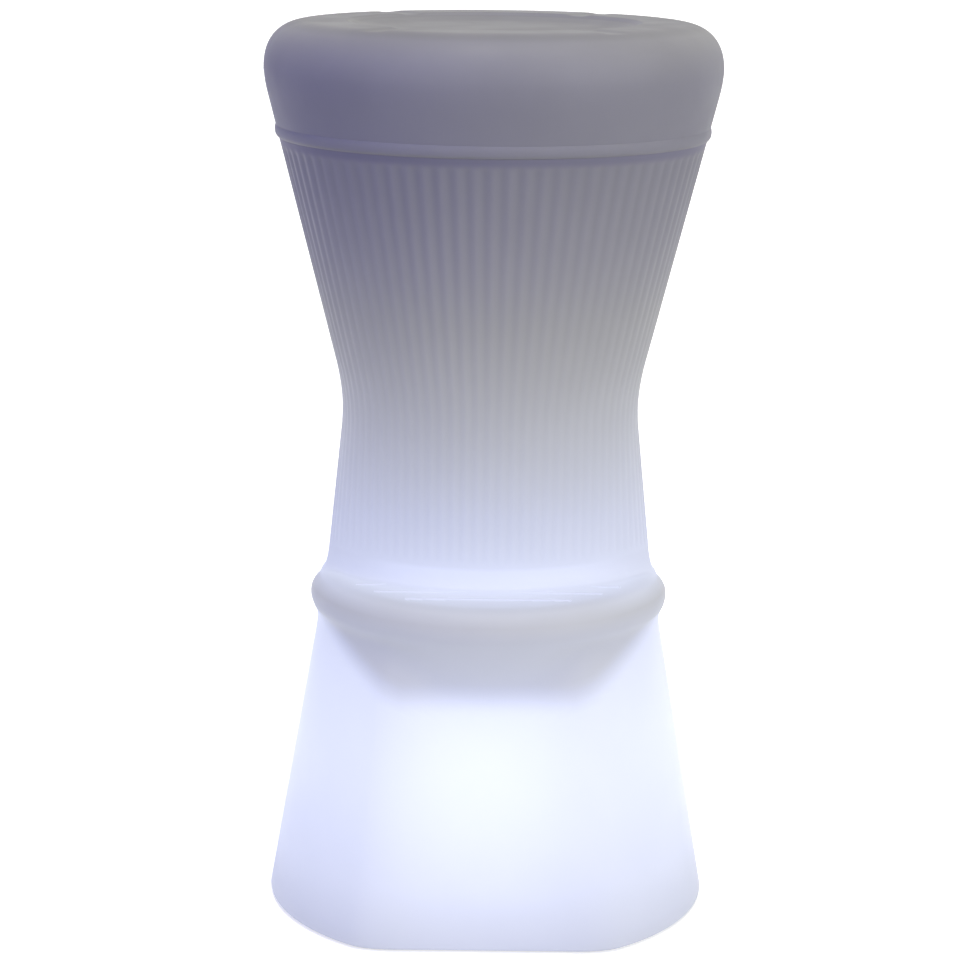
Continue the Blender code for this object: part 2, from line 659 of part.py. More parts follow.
def build_shell(finish):
    """The moulded shell, hollow, with its lamp opening, bosses, foot pockets, notches and ridges."""
    rows = shell_rows(SHELL_COLUMNS, ribbed=True)
    shell = add_part("stool_shell", loft_mesh("stool_shell", list(rows.values()), STOOL_HEIGHT - DISH_DEPTH,
                                              RECESS_TOP), finish)
    combine(shell, add_cutter("shell_cavity", cavity_mesh()), "DIFFERENCE")
    combine(shell, add_cutter("lamp_opening", peg_mesh(
        "lamp_opening", [(0.0, 0.0)], LAMP_OPENING_RADIUS, RECESS_TOP - OVERRUN, CAVITY_FLOOR + OVERRUN,
        LAMP_STEPS)), "DIFFERENCE")
    screws = circle_places(LAMP_SCREW_COUNT, LAMP_SCREW_CIRCLE, pi / 4)
    combine(shell, add_cutter("insert_bosses", peg_mesh(
        "insert_bosses", screws, BOSS_RADIUS, CAVITY_FLOOR - WALL / 2, CAVITY_FLOOR + BOSS_RISE)), "UNION")
    combine(shell, add_cutter("insert_holes", peg_mesh(
        "insert_holes", screws, INSERT_RADIUS + FIT_GAP, RECESS_TOP - OVERRUN,
        RECESS_TOP + INSERT_SET_BACK + INSERT_LENGTH + FIT_GAP)), "DIFFERENCE")
    combine(shell, add_cutter("foot_pockets", peg_mesh(
        "foot_pockets", foot_places(), FOOT_PAD_RADIUS + FIT_GAP, FOOT_PAD_PROUD - OVERRUN,
        FOOT_PAD_PROUD + FOOT_POCKET_DEPTH, SMALL_STEPS)), "DIFFERENCE")
    length = SEAT_RADIUS + OVERRUN - NOTCH_START
    middle = NOTCH_START + length / 2
    turns = [pi / 4 + 2 * pi * index / NOTCH_COUNT for index in range(NOTCH_COUNT)]
    height = NOTCH_DEPTH + OVERRUN
    combine(shell, add_cutter("drain_notches", block_mesh(
        "drain_notches",
        [(middle * cos(turn), middle * sin(turn), STOOL_HEIGHT - NOTCH_DEPTH + height / 2) for turn in turns],
        (length, NOTCH_WIDTH, height), turns)), "DIFFERENCE")
    combine(shell, add_cutter("tread_ridges", ridge_mesh()), "UNION")


def foot_places():
    """Places of the feet, in the middle of the foot ring."""
    ring = (RECESS_RADIUS + RECESS_DRAFT + BASE_RADIUS - BASE_EDGE) / 2
    return circle_places(FOOT_PAD_COUNT, ring, pi / 4)


def build_feet(rubber):
    """Rubber pads in the pockets of the foot ring."""
    add_copies("rubber_foot", peg_mesh(
        "rubber_foot", [(0.0, 0.0)], FOOT_PAD_RADIUS, 0.0,
        FOOT_PAD_PROUD + FOOT_POCKET_DEPTH - FIT_GAP, SMALL_STEPS), foot_places(), rubber)


def build_fastening(brass, steel, silicone):
    """Inserts in the shell's bosses, the screws that go into them, and the gasket between."""
    screws = circle_places(LAMP_SCREW_COUNT, LAMP_SCREW_CIRCLE, pi / 4)
    low = RECESS_TOP + INSERT_SET_BACK
    high = low + INSERT_LENGTH
    add_copies("threaded_insert", turned_mesh(
        "threaded_insert",
        [(INSERT_BORE, high), (INSERT_RADIUS, high), (INSERT_RADIUS, low), (INSERT_BORE, low)],
        TINY_STEPS), screws, brass)
    head_top = FLANGE_BOTTOM - FIT_GAP
    shank_top = low + LAMP_SCREW_REACH
    add_copies("lamp_screw", turned_mesh(
        "lamp_screw",
        [(0.0, shank_top), (LAMP_SCREW_RADIUS, shank_top), (LAMP_SCREW_RADIUS, head_top),
         (LAMP_SCREW_HEAD_RADIUS, head_top), (LAMP_SCREW_HEAD_RADIUS, head_top - LAMP_SCREW_HEAD / 2),
         (LAMP_SCREW_HEAD_RADIUS / 2, head_top - LAMP_SCREW_HEAD), (0.0, head_top - LAMP_SCREW_HEAD)],
        SMALL_STEPS), screws, steel)
    low = FLANGE_TOP + FIT_GAP
    high = low + GASKET_THICKNESS
    outer = FLANGE_RADIUS - GASKET_MARGIN
    gasket = add_part("lamp_gasket", turned_mesh(
        "lamp_gasket", [(LAMP_OPENING_RADIUS, high), (outer, high), (outer, low), (LAMP_OPENING_RADIUS, low)],
        LAMP_STEPS), silicone)
    combine(gasket, add_cutter("gasket_holes", peg_mesh(
        "gasket_holes", screws, LAMP_SCREW_RADIUS + 2 * FIT_GAP, low - OVERRUN, high + OVERRUN,
        TINY_STEPS)), "DIFFERENCE")


def board_post_places():
    """Places of the four posts under the corners of the control board."""
    across = BOARD_SIZE[0] / 2 - BOARD_POST_INSET
    along = BOARD_SIZE[1] / 2 - BOARD_POST_INSET
    return [(BOARD_PLACE[0] + x * across, BOARD_PLACE[1] + y * along) for x in (-1, 1) for y in (-1, 1)]


def hinge_bar(name, radius, low_y, high_y, steps):
    """Round bar on the hinge axis between two places along Y."""
    work = bmesh.new()
    bmesh.ops.create_cone(
        work, cap_ends=True, segments=steps, radius1=radius, radius2=radius, depth=high_y - low_y,
        matrix=Matrix.Translation((HINGE_X, (low_y + high_y) / 2, HINGE_HEIGHT)) @ Matrix.Rotation(pi / 2, 4, "X"))
    return finish_mesh(name, work)


def ear_span(side):
    """Low and high Y of the hinge ear on one side of the knuckle."""
    near = KNUCKLE_WIDTH / 2 + FIT_GAP
    far = near + HINGE_EAR_WIDTH
    return tuple(sorted((INLET_PLACE[1] + side * near, INLET_PLACE[1] + side * far)))


def build_lamp_base(plastic):
    """Flange and cup that close the opening, with posts, bores and the hinge ears of the door."""
    spigot = CUP_BORE + SPIGOT_WALL
    spigot_top = CUP_SHOULDER + SPIGOT_RISE
    base = add_part("lamp_base", turned_mesh("lamp_base", [
        (0.0, FLANGE_TOP), (CUP_BORE, FLANGE_TOP), (CUP_BORE, spigot_top), (spigot, spigot_top),
        (spigot, CUP_SHOULDER), (CUP_RADIUS, CUP_SHOULDER), (CUP_RADIUS, FLANGE_TOP),
        (FLANGE_RADIUS, FLANGE_TOP), (FLANGE_RADIUS, FLANGE_BOTTOM), (0.0, FLANGE_BOTTOM)], LAMP_STEPS), plastic)
    plate_posts = circle_places(PLATE_POST_COUNT, PLATE_POST_CIRCLE)
    root = FLANGE_TOP - FLANGE_THICKNESS / 2
    combine(base, add_cutter("plate_posts", peg_mesh(
        "plate_posts", plate_posts, PLATE_POST_RADIUS, root, FLANGE_TOP + PLATE_POST_RISE)), "UNION")
    combine(base, add_cutter("board_posts", peg_mesh(
        "board_posts", board_post_places(), BOARD_POST_RADIUS, root, FLANGE_TOP + BOARD_POST_RISE,
        TINY_STEPS)), "UNION")
    for side, word in ((-1, "front"), (1, "back")):
        low, high = ear_span(side)
        combine(base, add_cutter(f"hinge_ear_{word}", hinge_bar(
            f"hinge_ear_{word}", HINGE_EAR_RADIUS, low, high, TINY_STEPS)), "UNION")
        neck = HINGE_STANDOFF + FLANGE_THICKNESS / 2
        combine(base, add_cutter(f"hinge_neck_{word}", block_mesh(
            f"hinge_neck_{word}", [(HINGE_X, (low + high) / 2, HINGE_HEIGHT + neck / 2)],
            (2 * HINGE_EAR_RADIUS * cos(pi / TINY_STEPS), high - low, neck))), "UNION")
    near = ear_span(-1)[0] - OVERRUN
    far = ear_span(1)[1] + OVERRUN
    combine(base, add_cutter("hinge_bore", hinge_bar(
        "hinge_bore", HINGE_PIN_RADIUS + FIT_GAP, near, far, TINY_STEPS)), "DIFFERENCE")
    low = FLANGE_BOTTOM - OVERRUN
    high = FLANGE_TOP + OVERRUN
    for name, place, radius in (("button_bore", BUTTON_PLACE, BUTTON_RADIUS + FIT_GAP),
                                ("indicator_bore", INDICATOR_PLACE, INDICATOR_RADIUS + FIT_GAP),
                                ("inlet_bore", INLET_PLACE, INLET_BODY_RADIUS + FIT_GAP)):
        combine(base, add_cutter(name, peg_mesh(name, [place], radius, low, high)), "DIFFERENCE")
    combine(base, add_cutter("flange_holes", peg_mesh(
        "flange_holes", circle_places(LAMP_SCREW_COUNT, LAMP_SCREW_CIRCLE, pi / 4),
        LAMP_SCREW_RADIUS + 2 * FIT_GAP, low, high, TINY_STEPS)), "DIFFERENCE")
    for name, places, top in (("plate_post_holes", plate_posts, FLANGE_TOP + PLATE_POST_RISE),
                              ("board_post_holes", board_post_places(), FLANGE_TOP + BOARD_POST_RISE)):
        combine(base, add_cutter(name, peg_mesh(
            name, places, SMALL_SCREW_RADIUS + FIT_GAP, top - SMALL_SCREW_REACH - FIT_GAP, top + OVERRUN,
            TINY_STEPS)), "DIFFERENCE")


def small_screws(name, places, seat, thickness, steel):
    """Pan-head screws that hold a board of some thickness on its posts."""
    under_head = seat + thickness + FIT_GAP
    top = under_head + SMALL_SCREW_HEAD
    bottom = seat - FIT_GAP - SMALL_SCREW_REACH
    add_copies(name, turned_mesh(
        name,
        [(0.0, top), (SMALL_SCREW_HEAD_RADIUS / 2, top), (SMALL_SCREW_HEAD_RADIUS, under_head + SMALL_SCREW_HEAD / 2),
         (SMALL_SCREW_HEAD_RADIUS, under_head), (SMALL_SCREW_RADIUS, under_head), (SMALL_SCREW_RADIUS, bottom),
         (0.0, bottom)], TINY_STEPS), places, steel)


def build_control(board_finish, chip_finish, steel, white, clear):
    """Control board with its chips, screws, switch and charge light pipe."""
    centre = (*BOARD_PLACE, (BOARD_BOTTOM + BOARD_TOP) / 2)
    board = add_part("control_board", block_mesh("control_board", [centre], BOARD_SIZE), board_finish)
    combine(board, add_cutter("board_holes", peg_mesh(
        "board_holes", board_post_places(), SMALL_SCREW_RADIUS + FIT_GAP, BOARD_BOTTOM - OVERRUN,
        BOARD_TOP + OVERRUN, TINY_STEPS)), "DIFFERENCE")
    small_screws("board_screw", board_post_places(), BOARD_BOTTOM, BOARD_SIZE[2], steel)
    chips = [(BOARD_PLACE[0] + (index - (CHIP_COUNT - 1) / 2) * CHIP_SPAN, BOARD_PLACE[1])
             for index in range(CHIP_COUNT)]
    add_copies("controller_chip", block_mesh(
        "controller_chip", [(0.0, 0.0, BOARD_TOP + FIT_GAP + CHIP_SIZE[2] / 2)], CHIP_SIZE), chips, chip_finish)
    switch_bottom = BOARD_BOTTOM - FIT_GAP - SWITCH_HEIGHT
    switch = add_part("button_switch", block_mesh(
        "button_switch", [(*BUTTON_PLACE, switch_bottom + SWITCH_HEIGHT / 2)],
        (SWITCH_SIDE, SWITCH_SIDE, SWITCH_HEIGHT)), chip_finish)
    combine(switch, add_cutter("switch_bore", peg_mesh(
        "switch_bore", [BUTTON_PLACE], PLUNGER_RADIUS + FIT_GAP, switch_bottom - OVERRUN,
        switch_bottom + SWITCH_BORE_DEPTH)), "DIFFERENCE")
    plunger_bottom = switch_bottom - PLUNGER_PROUD
    plunger = add_part("switch_plunger", peg_mesh(
        "switch_plunger", [(0.0, 0.0)], PLUNGER_RADIUS, plunger_bottom,
        plunger_bottom + PLUNGER_LENGTH), chip_finish)
    face = FLANGE_BOTTOM - BUTTON_PROUD
    collar = FLANGE_TOP + FIT_GAP
    stem_top = plunger_bottom - FIT_GAP
    button = add_part("power_button", turned_mesh("power_button", [
        (0.0, stem_top), (BUTTON_STEM_RADIUS, stem_top), (BUTTON_STEM_RADIUS, collar + BUTTON_COLLAR),
        (BUTTON_COLLAR_RADIUS, collar + BUTTON_COLLAR), (BUTTON_COLLAR_RADIUS, collar), (BUTTON_RADIUS, collar),
        (BUTTON_RADIUS, face + BUTTON_DISH), (BUTTON_RADIUS - BUTTON_DISH, face),
        (BUTTON_RADIUS - 2 * BUTTON_DISH, face), (0.0, face + BUTTON_DISH)],
        ROUND_STEPS), white)
    for piece in (plunger, button):
        piece.location = (*BUTTON_PLACE, 0.0)
    pipe_bottom = FLANGE_BOTTOM + FIT_GAP
    pipe_top = FLANGE_TOP + INDICATOR_REACH
    add_part("charge_indicator", turned_mesh("charge_indicator", [
        (0.0, pipe_top), (INDICATOR_RADIUS, pipe_top), (INDICATOR_RADIUS, collar + INDICATOR_COLLAR),
        (INDICATOR_COLLAR_RADIUS, collar + INDICATOR_COLLAR), (INDICATOR_COLLAR_RADIUS, collar),
        (INDICATOR_RADIUS, collar), (INDICATOR_RADIUS, pipe_bottom), (0.0, pipe_bottom)],
        TINY_STEPS, INDICATOR_PLACE), clear)


def build_inlet(black, steel):
    """Panel inlet of the charger with its centre pin and nut."""
    flange_top = FLANGE_BOTTOM - FIT_GAP
    mouth = flange_top - INLET_FLANGE
    top = FLANGE_TOP + INLET_RISE
    bore_end = mouth + INLET_BORE_DEPTH
    socket = INLET_PIN_RADIUS + FIT_GAP
    pin_top = bore_end + INLET_PIN_ROOT
    add_part("dc_socket", turned_mesh("dc_socket", [
        (0.0, top), (INLET_BODY_RADIUS, top), (INLET_BODY_RADIUS, flange_top), (INLET_FLANGE_RADIUS, flange_top),
        (INLET_FLANGE_RADIUS, mouth), (INLET_BORE, mouth), (INLET_BORE, bore_end), (socket, bore_end),
        (socket, pin_top + FIT_GAP), (0.0, pin_top + FIT_GAP)], ROUND_STEPS, INLET_PLACE), black)
    add_part("dc_socket_pin", peg_mesh(
        "dc_socket_pin", [INLET_PLACE], INLET_PIN_RADIUS, mouth + INLET_PIN_SET_BACK, pin_top, TINY_STEPS), steel)
    low = FLANGE_TOP + FIT_GAP
    nut = add_part("dc_socket_nut", peg_mesh(
        "dc_socket_nut", [INLET_PLACE], INLET_NUT_RADIUS, low, low + INLET_NUT, INLET_NUT_SIDES), steel)
    combine(nut, add_cutter("nut_bore", peg_mesh(
        "nut_bore", [INLET_PLACE], INLET_BODY_RADIUS + FIT_GAP, low - OVERRUN, low + INLET_NUT + OVERRUN)),
        "DIFFERENCE")


def build_door(plastic, steel):
    """Door over the inlet, with its knuckle between the ears, and the pin through them."""
    mouth = FLANGE_BOTTOM - FIT_GAP - INLET_FLANGE
    top = mouth - DOOR_DROP
    bottom = top - DOOR_THICKNESS
    near = INLET_PLACE[0] - INLET_FLANGE_RADIUS - DOOR_MARGIN
    far = HINGE_X - HINGE_EAR_RADIUS - 2 * FIT_GAP
    low_y = INLET_PLACE[1] - KNUCKLE_WIDTH / 2
    high_y = INLET_PLACE[1] + KNUCKLE_WIDTH / 2
    middle = (top + bottom) / 2
    door = block_mesh("port_cover", [((near + far) / 2, INLET_PLACE[1], middle)],
                      (far - near, DOOR_WIDTH, DOOR_THICKNESS))
    axis = Vector((HINGE_X, INLET_PLACE[1], HINGE_HEIGHT))
    door.transform(Matrix.Translation(-axis))
    cover = add_part("port_cover", door, plastic)
    cover.location = axis
    bevel = cover.modifiers.new("edges", "BEVEL")
    bevel.width = DOOR_THICKNESS / 4
    bevel.segments = 1
    reach = HINGE_X - far + OVERRUN
    combine(cover, add_cutter("door_tongue", block_mesh(
        "door_tongue", [(HINGE_X - reach / 2, INLET_PLACE[1], middle)],
        (reach, KNUCKLE_WIDTH, DOOR_THICKNESS / 2))), "UNION")
    combine(cover, add_cutter("door_knuckle", hinge_bar(
        "door_knuckle", KNUCKLE_RADIUS, low_y, high_y, SMALL_STEPS)), "UNION")
    combine(cover, add_cutter("knuckle_bore", hinge_bar(
        "knuckle_bore", HINGE_PIN_RADIUS + FIT_GAP, low_y - OVERRUN, high_y + OVERRUN, TINY_STEPS)), "DIFFERENCE")
    add_part("port_hinge_pin", hinge_bar(
        "port_hinge_pin", HINGE_PIN_RADIUS, ear_span(-1)[0], ear_span(1)[1], TINY_STEPS), steel)


def build_battery(plastic, wrap, webbing):
    """Tray with its cells and the strap round them."""
    width = CELL_COUNT * CELL_PITCH + FIT_GAP + 2 * TRAY_WALL
    length = CELL_LENGTH + 2 * FIT_GAP + 2 * TRAY_WALL
    tray = add_part("battery_tray", block_mesh(
        "battery_tray", [(0.0, TRAY_MIDDLE, TRAY_BOTTOM + TRAY_HEIGHT / 2)], (length, width, TRAY_HEIGHT)), plastic)
    combine(tray, add_cutter("tray_hollow", block_mesh(
        "tray_hollow", [(0.0, TRAY_MIDDLE, TRAY_BOTTOM + TRAY_WALL + TRAY_HEIGHT / 2)],
        (length - 2 * TRAY_WALL, width - 2 * TRAY_WALL, TRAY_HEIGHT))), "DIFFERENCE")
    work = bmesh.new()
    bmesh.ops.create_cone(
        work, cap_ends=True, segments=ROUND_STEPS, radius1=CELL_RADIUS, radius2=CELL_RADIUS, depth=CELL_LENGTH,
        matrix=Matrix.Translation((0.0, 0.0, CELL_CENTRE_HEIGHT)) @ Matrix.Rotation(pi / 2, 4, "Y"))
    add_copies("battery_cell", finish_mesh("battery_cell", work), [
        (0.0, TRAY_MIDDLE + (index - (CELL_COUNT - 1) / 2) * CELL_PITCH) for index in range(CELL_COUNT)], wrap)
    inner_half = width / 2 + FIT_GAP
    cell_top = CELL_CENTRE_HEIGHT + CELL_RADIUS + FIT_GAP
    tray_side = TRAY_BOTTOM + TRAY_HEIGHT / 2
    corner = CELL_RADIUS + FIT_GAP
    inner = [(inner_half, tray_side), (inner_half, CELL_CENTRE_HEIGHT)]
    inner += [(inner_half - corner + corner * cos(turn), cell_top - corner + corner * sin(turn))
              for turn in (pi / 6, pi / 3)]
    inner.append((inner_half - corner, cell_top))
    inner += [(-y, z) for y, z in reversed(inner)]
    strap = bpy.data.meshes.new("battery_strap")
    strap.from_pydata([(-STRAP_WIDTH / 2, TRAY_MIDDLE + y, z) for y, z in inner],
                      [(index, index + 1) for index in range(len(inner) - 1)], [])
    work = bmesh.new()
    work.from_mesh(strap)
    swept = bmesh.ops.extrude_edge_only(work, edges=work.edges[:])["geom"]
    bmesh.ops.translate(work, vec=(STRAP_WIDTH, 0.0, 0.0),
                        verts=[item for item in swept if isinstance(item, bmesh.types.BMVert)])
    work.to_mesh(strap)
    work.free()
    band = add_part("battery_strap", strap, webbing)
    thick = band.modifiers.new("thickness", "SOLIDIFY")
    thick.thickness = STRAP_THICKNESS
    thick.offset = -1.0
    thick.use_even_offset = True


def build_light(aluminium, chip_white, steel, black):
    """Light plate on its posts, the colour chips, and the receiver of the remote."""
    plate = add_part("led_plate", peg_mesh(
        "led_plate", [(0.0, 0.0)], LIGHT_PLATE_RADIUS, LIGHT_PLATE_BOTTOM, LIGHT_PLATE_TOP, LAMP_STEPS), aluminium)
    posts = circle_places(PLATE_POST_COUNT, PLATE_POST_CIRCLE)
    combine(plate, add_cutter("plate_holes", peg_mesh(
        "plate_holes", posts, SMALL_SCREW_RADIUS + FIT_GAP, LIGHT_PLATE_BOTTOM - OVERRUN,
        LIGHT_PLATE_TOP + OVERRUN, TINY_STEPS)), "DIFFERENCE")
    small_screws("led_plate_screw", posts, LIGHT_PLATE_BOTTOM, LIGHT_PLATE_THICKNESS, steel)
    start = pi / LIGHT_CHIP_COUNT
    add_copies("led_chip", block_mesh(
        "led_chip", [(0.0, 0.0, LIGHT_PLATE_TOP + FIT_GAP + LIGHT_CHIP_SIZE[2] / 2)], LIGHT_CHIP_SIZE),
        circle_places(LIGHT_CHIP_COUNT, LIGHT_RING_RADIUS, start), chip_white,
        [start + 2 * pi * index / LIGHT_CHIP_COUNT for index in range(LIGHT_CHIP_COUNT)])
    low = LIGHT_PLATE_TOP + FIT_GAP
    receiver = add_part("ir_receiver", block_mesh(
        "ir_receiver", [(0.0, 0.0, low + RECEIVER_SIZE[2] / 2)], RECEIVER_SIZE), black)
    lens = bmesh.new()
    bmesh.ops.create_uvsphere(
        lens, u_segments=TINY_STEPS, v_segments=TINY_RINGS, radius=RECEIVER_LENS_RADIUS,
        matrix=Matrix.Translation((0.0, -RECEIVER_SIZE[1] / 2, low + RECEIVER_SIZE[2] / 2)))
    combine(receiver, add_cutter("receiver_lens", finish_mesh("receiver_lens", lens)), "UNION")


def build_dome(opal, silicone):
    """Opal dome that stands on its seal round the spigot of the lamp base."""
    seal_low = CUP_SHOULDER + FIT_GAP
    seal_high = seal_low + DOME_SEAL_THICKNESS
    bore = CUP_RADIUS - DOME_WALL
    add_part("dome_seal", turned_mesh("dome_seal", [
        (bore, seal_high), (CUP_RADIUS, seal_high), (CUP_RADIUS, seal_low), (bore, seal_low)],
        LAMP_STEPS), silicone)
    edge = seal_high + FIT_GAP
    crown = edge + DOME_SKIRT
    turns = [radians(degrees) for degrees in DOME_TURNS]
    outside = [(0.0, crown + DOME_RISE)]
    outside += [(CUP_RADIUS * sin(turn), crown + DOME_RISE * cos(turn)) for turn in turns]
    outside += [(CUP_RADIUS, crown), (CUP_RADIUS, edge)]
    rise = DOME_RISE - DOME_WALL
    inside = [(bore, edge), (bore, crown)]
    inside += [(bore * sin(turn), crown + rise * cos(turn)) for turn in reversed(turns)]
    inside.append((0.0, crown + rise))
    add_part("diffuser_dome", turned_mesh("diffuser_dome", outside + inside, LAMP_STEPS), opal)


def add_lead(name, route, finish):
    """Insulated lead along a smooth curve through its route."""
    anchors = [Vector(place) for place in route]
    ends = [2 * anchors[0] - anchors[1], *anchors, 2 * anchors[-1] - anchors[-2]]
    spans = len(anchors) - 1
    points = []
    for index in range(LEAD_POINTS):
        travel = spans * index / (LEAD_POINTS - 1)
        span = min(int(travel), spans - 1)
        share = travel - span
        before, start, end, after = ends[span:span + 4]
        points.append(start + (end - before) * (share / 2)
                      + (before * 2 - start * 5 + end * 4 - after) * (share ** 2 / 2)
                      + (start * 3 - before - end * 3 + after) * (share ** 3 / 2))
    curve = bpy.data.curves.new(name, "CURVE")
    curve.dimensions = "3D"
    curve.bevel_depth = LEAD_RADIUS
    curve.bevel_resolution = 2
    curve.use_fill_caps = True
    spline = curve.splines.new("POLY")
    spline.points.add(len(points) - 1)
    for point, place in zip(spline.points, points):
        point.co = (*place, 1.0)
    curve.materials.append(finish)
    PARTS.objects.link(bpy.data.objects.new(name, curve))


def build_leads(red, black, white):
    """Leads from the battery and the inlet to the board, and from the board to the light plate."""
    board_edge = BOARD_PLACE[1] + BOARD_SIZE[1] / 2
    solder = BOARD_TOP + FIT_GAP + LEAD_RADIUS
    tray_edge = TRAY_MIDDLE - (CELL_COUNT * CELL_PITCH + FIT_GAP) / 2 - TRAY_WALL
    cell_end = CELL_LENGTH / 2 + TRAY_WALL + 2 * FIT_GAP + LEAD_RADIUS
    rise = CELL_CENTRE_HEIGHT + CELL_RADIUS / 2
    for name, side, finish in (("battery_lead_red", 1, red), ("battery_lead_black", -1, black)):
        landing = BOARD_PLACE[0] + side * CHIP_SPAN
        add_lead(name, [
            (side * cell_end, tray_edge + CELL_RADIUS, rise),
            (side * cell_end, tray_edge - CELL_RADIUS / 3, rise),
            ((side * cell_end + landing) / 2, (tray_edge + board_edge) / 2, (rise + solder) / 2 + LEAD_RADIUS * 2),
            (landing, board_edge, solder + LEAD_RADIUS),
            (landing, board_edge - BOARD_POST_INSET / 2, solder)], finish)
    inlet_top = FLANGE_TOP + INLET_RISE
    landing = BOARD_PLACE[0] + BOARD_SIZE[0] / 2
    add_lead("socket_lead", [
        (INLET_PLACE[0], INLET_PLACE[1], inlet_top + FIT_GAP + LEAD_RADIUS),
        (INLET_PLACE[0] - INLET_BODY_RADIUS, INLET_PLACE[1], inlet_top + 4 * LEAD_RADIUS),
        ((INLET_PLACE[0] + landing) / 2, BOARD_PLACE[1], inlet_top + 3 * LEAD_RADIUS),
        (landing, BOARD_PLACE[1], solder + LEAD_RADIUS * 2),
        (landing - BOARD_POST_INSET / 2, BOARD_PLACE[1], solder)], black)
    landing = BOARD_PLACE[1] - BOARD_SIZE[1] / 2
    under_plate = LIGHT_PLATE_BOTTOM - FIT_GAP - LEAD_RADIUS
    add_lead("led_lead", [
        (BOARD_PLACE[0], landing + BOARD_POST_INSET / 2, solder),
        (BOARD_PLACE[0], landing, solder + LEAD_RADIUS * 2),
        (BOARD_PLACE[0] - BOARD_POST_INSET, landing - BOARD_POST_INSET / 2, (solder + under_plate) / 2),
        (BOARD_PLACE[0] - BOARD_POST_INSET, landing, under_plate - LEAD_RADIUS * 4),
        (BOARD_PLACE[0] - BOARD_POST_INSET, landing + BOARD_POST_INSET * 2, under_plate)], white)


def main():
    """Build every piece of the stool."""
    clear_scene()
    milky = make_material("milky_polyethylene", (0.80, 0.82, 0.88), 0.55)
    rubber = make_material("grey_rubber", (0.16, 0.16, 0.17), 0.85)
    silicone = make_material("silicone", (0.62, 0.64, 0.66), 0.6)
    white = make_material("white_plastic", (0.84, 0.85, 0.86), 0.42)
    opal = make_material("opal_plastic", (0.90, 0.91, 0.93), 0.35)
    clear = make_material("clear_plastic", (0.72, 0.86, 0.78), 0.12)
    black = make_material("black_plastic", (0.03, 0.03, 0.035), 0.45)
    steel = make_material("zinc_steel", (0.62, 0.63, 0.64), 0.32, 1.0)
    brass = make_material("brass", (0.78, 0.60, 0.28), 0.35, 1.0)
    aluminium = make_material("aluminium", (0.77, 0.78, 0.79), 0.4, 1.0)
    green = make_material("board_green", (0.03, 0.20, 0.09), 0.4)
    blue = make_material("cell_wrap", (0.05, 0.16, 0.42), 0.35)
    red = make_material("red_lead", (0.55, 0.03, 0.03), 0.5)
    build_shell(milky)
    build_feet(rubber)
    build_fastening(brass, steel, silicone)
    build_lamp_base(white)
    build_control(green, black, steel, white, clear)
    build_inlet(black, steel)
    build_door(white, steel)
    build_battery(white, blue, black)
    build_light(aluminium, opal, steel, black)
    build_dome(opal, silicone)
    build_leads(red, black, white)


main()
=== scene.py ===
"""Looks of the LED light-up stool: its lit, ribbed shell and the lamp unit under it.

Metres, +Z up. The origin is on the floor under the middle of the stool, and the footrest faces -Y.
"""
from __future__ import annotations

import json
import logging
from collections.abc import Callable, Sequence
from dataclasses import dataclass, field
from enum import Enum
from math import cos, pi, radians, sin, tan

import bmesh
import bpy
import numpy as np
from mathutils import Matrix, Vector


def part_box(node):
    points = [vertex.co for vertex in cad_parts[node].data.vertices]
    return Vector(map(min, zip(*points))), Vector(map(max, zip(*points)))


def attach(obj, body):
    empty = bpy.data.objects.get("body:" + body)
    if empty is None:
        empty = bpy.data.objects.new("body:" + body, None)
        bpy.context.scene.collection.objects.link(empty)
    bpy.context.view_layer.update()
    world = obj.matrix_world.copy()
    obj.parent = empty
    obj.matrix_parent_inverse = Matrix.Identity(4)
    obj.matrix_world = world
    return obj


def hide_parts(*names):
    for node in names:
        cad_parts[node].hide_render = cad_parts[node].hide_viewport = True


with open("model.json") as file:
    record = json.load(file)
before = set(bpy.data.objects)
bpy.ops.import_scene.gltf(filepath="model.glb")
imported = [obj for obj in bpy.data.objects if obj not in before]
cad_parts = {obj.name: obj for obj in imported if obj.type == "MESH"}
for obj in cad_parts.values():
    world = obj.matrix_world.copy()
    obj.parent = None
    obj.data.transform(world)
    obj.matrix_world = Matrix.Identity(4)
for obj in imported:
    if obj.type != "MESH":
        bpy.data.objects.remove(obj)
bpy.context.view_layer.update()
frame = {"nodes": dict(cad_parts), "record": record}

MERGE = 0.00001
SMOOTH_ANGLE = radians(32)
# Values that the shell's mesh carries for its material, each painting shade: darker rib valleys, glow lost on
# the ledge, lip and chin, and a darker band under the bead.
MARKS = ("rib_valley", "ledge_shade", "painted_bead_shade")
WHITE = (1.0, 1.0, 1.0)
MIX_SHARE, MIX_FIRST, MIX_SECOND, MIX_RESULT = 0, 6, 7, 2

Colour = tuple[float, float, float]
Place = tuple[float, float, float]
Profile = list[tuple[float, float]]

log = logging.getLogger("led_light_up_stool")


class Body(Enum):
    """Bodies that the pieces ride on."""

    ROOT = "root"
    BUTTON = "power_button"
    COVER = "port_cover"


class Slot(Enum):
    """Material slots of the record."""

    SHELL = "milky_polyethylene"
    RUBBER = "foot_rubber"
    SILICONE = "seal_silicone"
    WHITE = "white_plastic"
    OPAL = "opal_plastic"
    CLEAR = "clear_plastic"
    BLACK = "black_plastic"
    STEEL = "zinc_steel"
    BRASS = "insert_brass"
    ALUMINIUM = "plate_aluminium"
    BOARD = "circuit_board"
    WRAP = "cell_wrap"
    WEBBING = "strap_webbing"
    RED = "red_insulation"


class Pattern(Enum):
    """How a finish changes over its surface: a node group, and the input that sets its scale."""

    GRAIN = ("surface_grain", "Grain Scale")
    BRUSHED = ("drawn_lines", "Line Scale")
    WEAVE = ("woven_webbing", "Yarn Pitch")
    TRACES = ("board_tracks", "Track Scale")


# Meshes


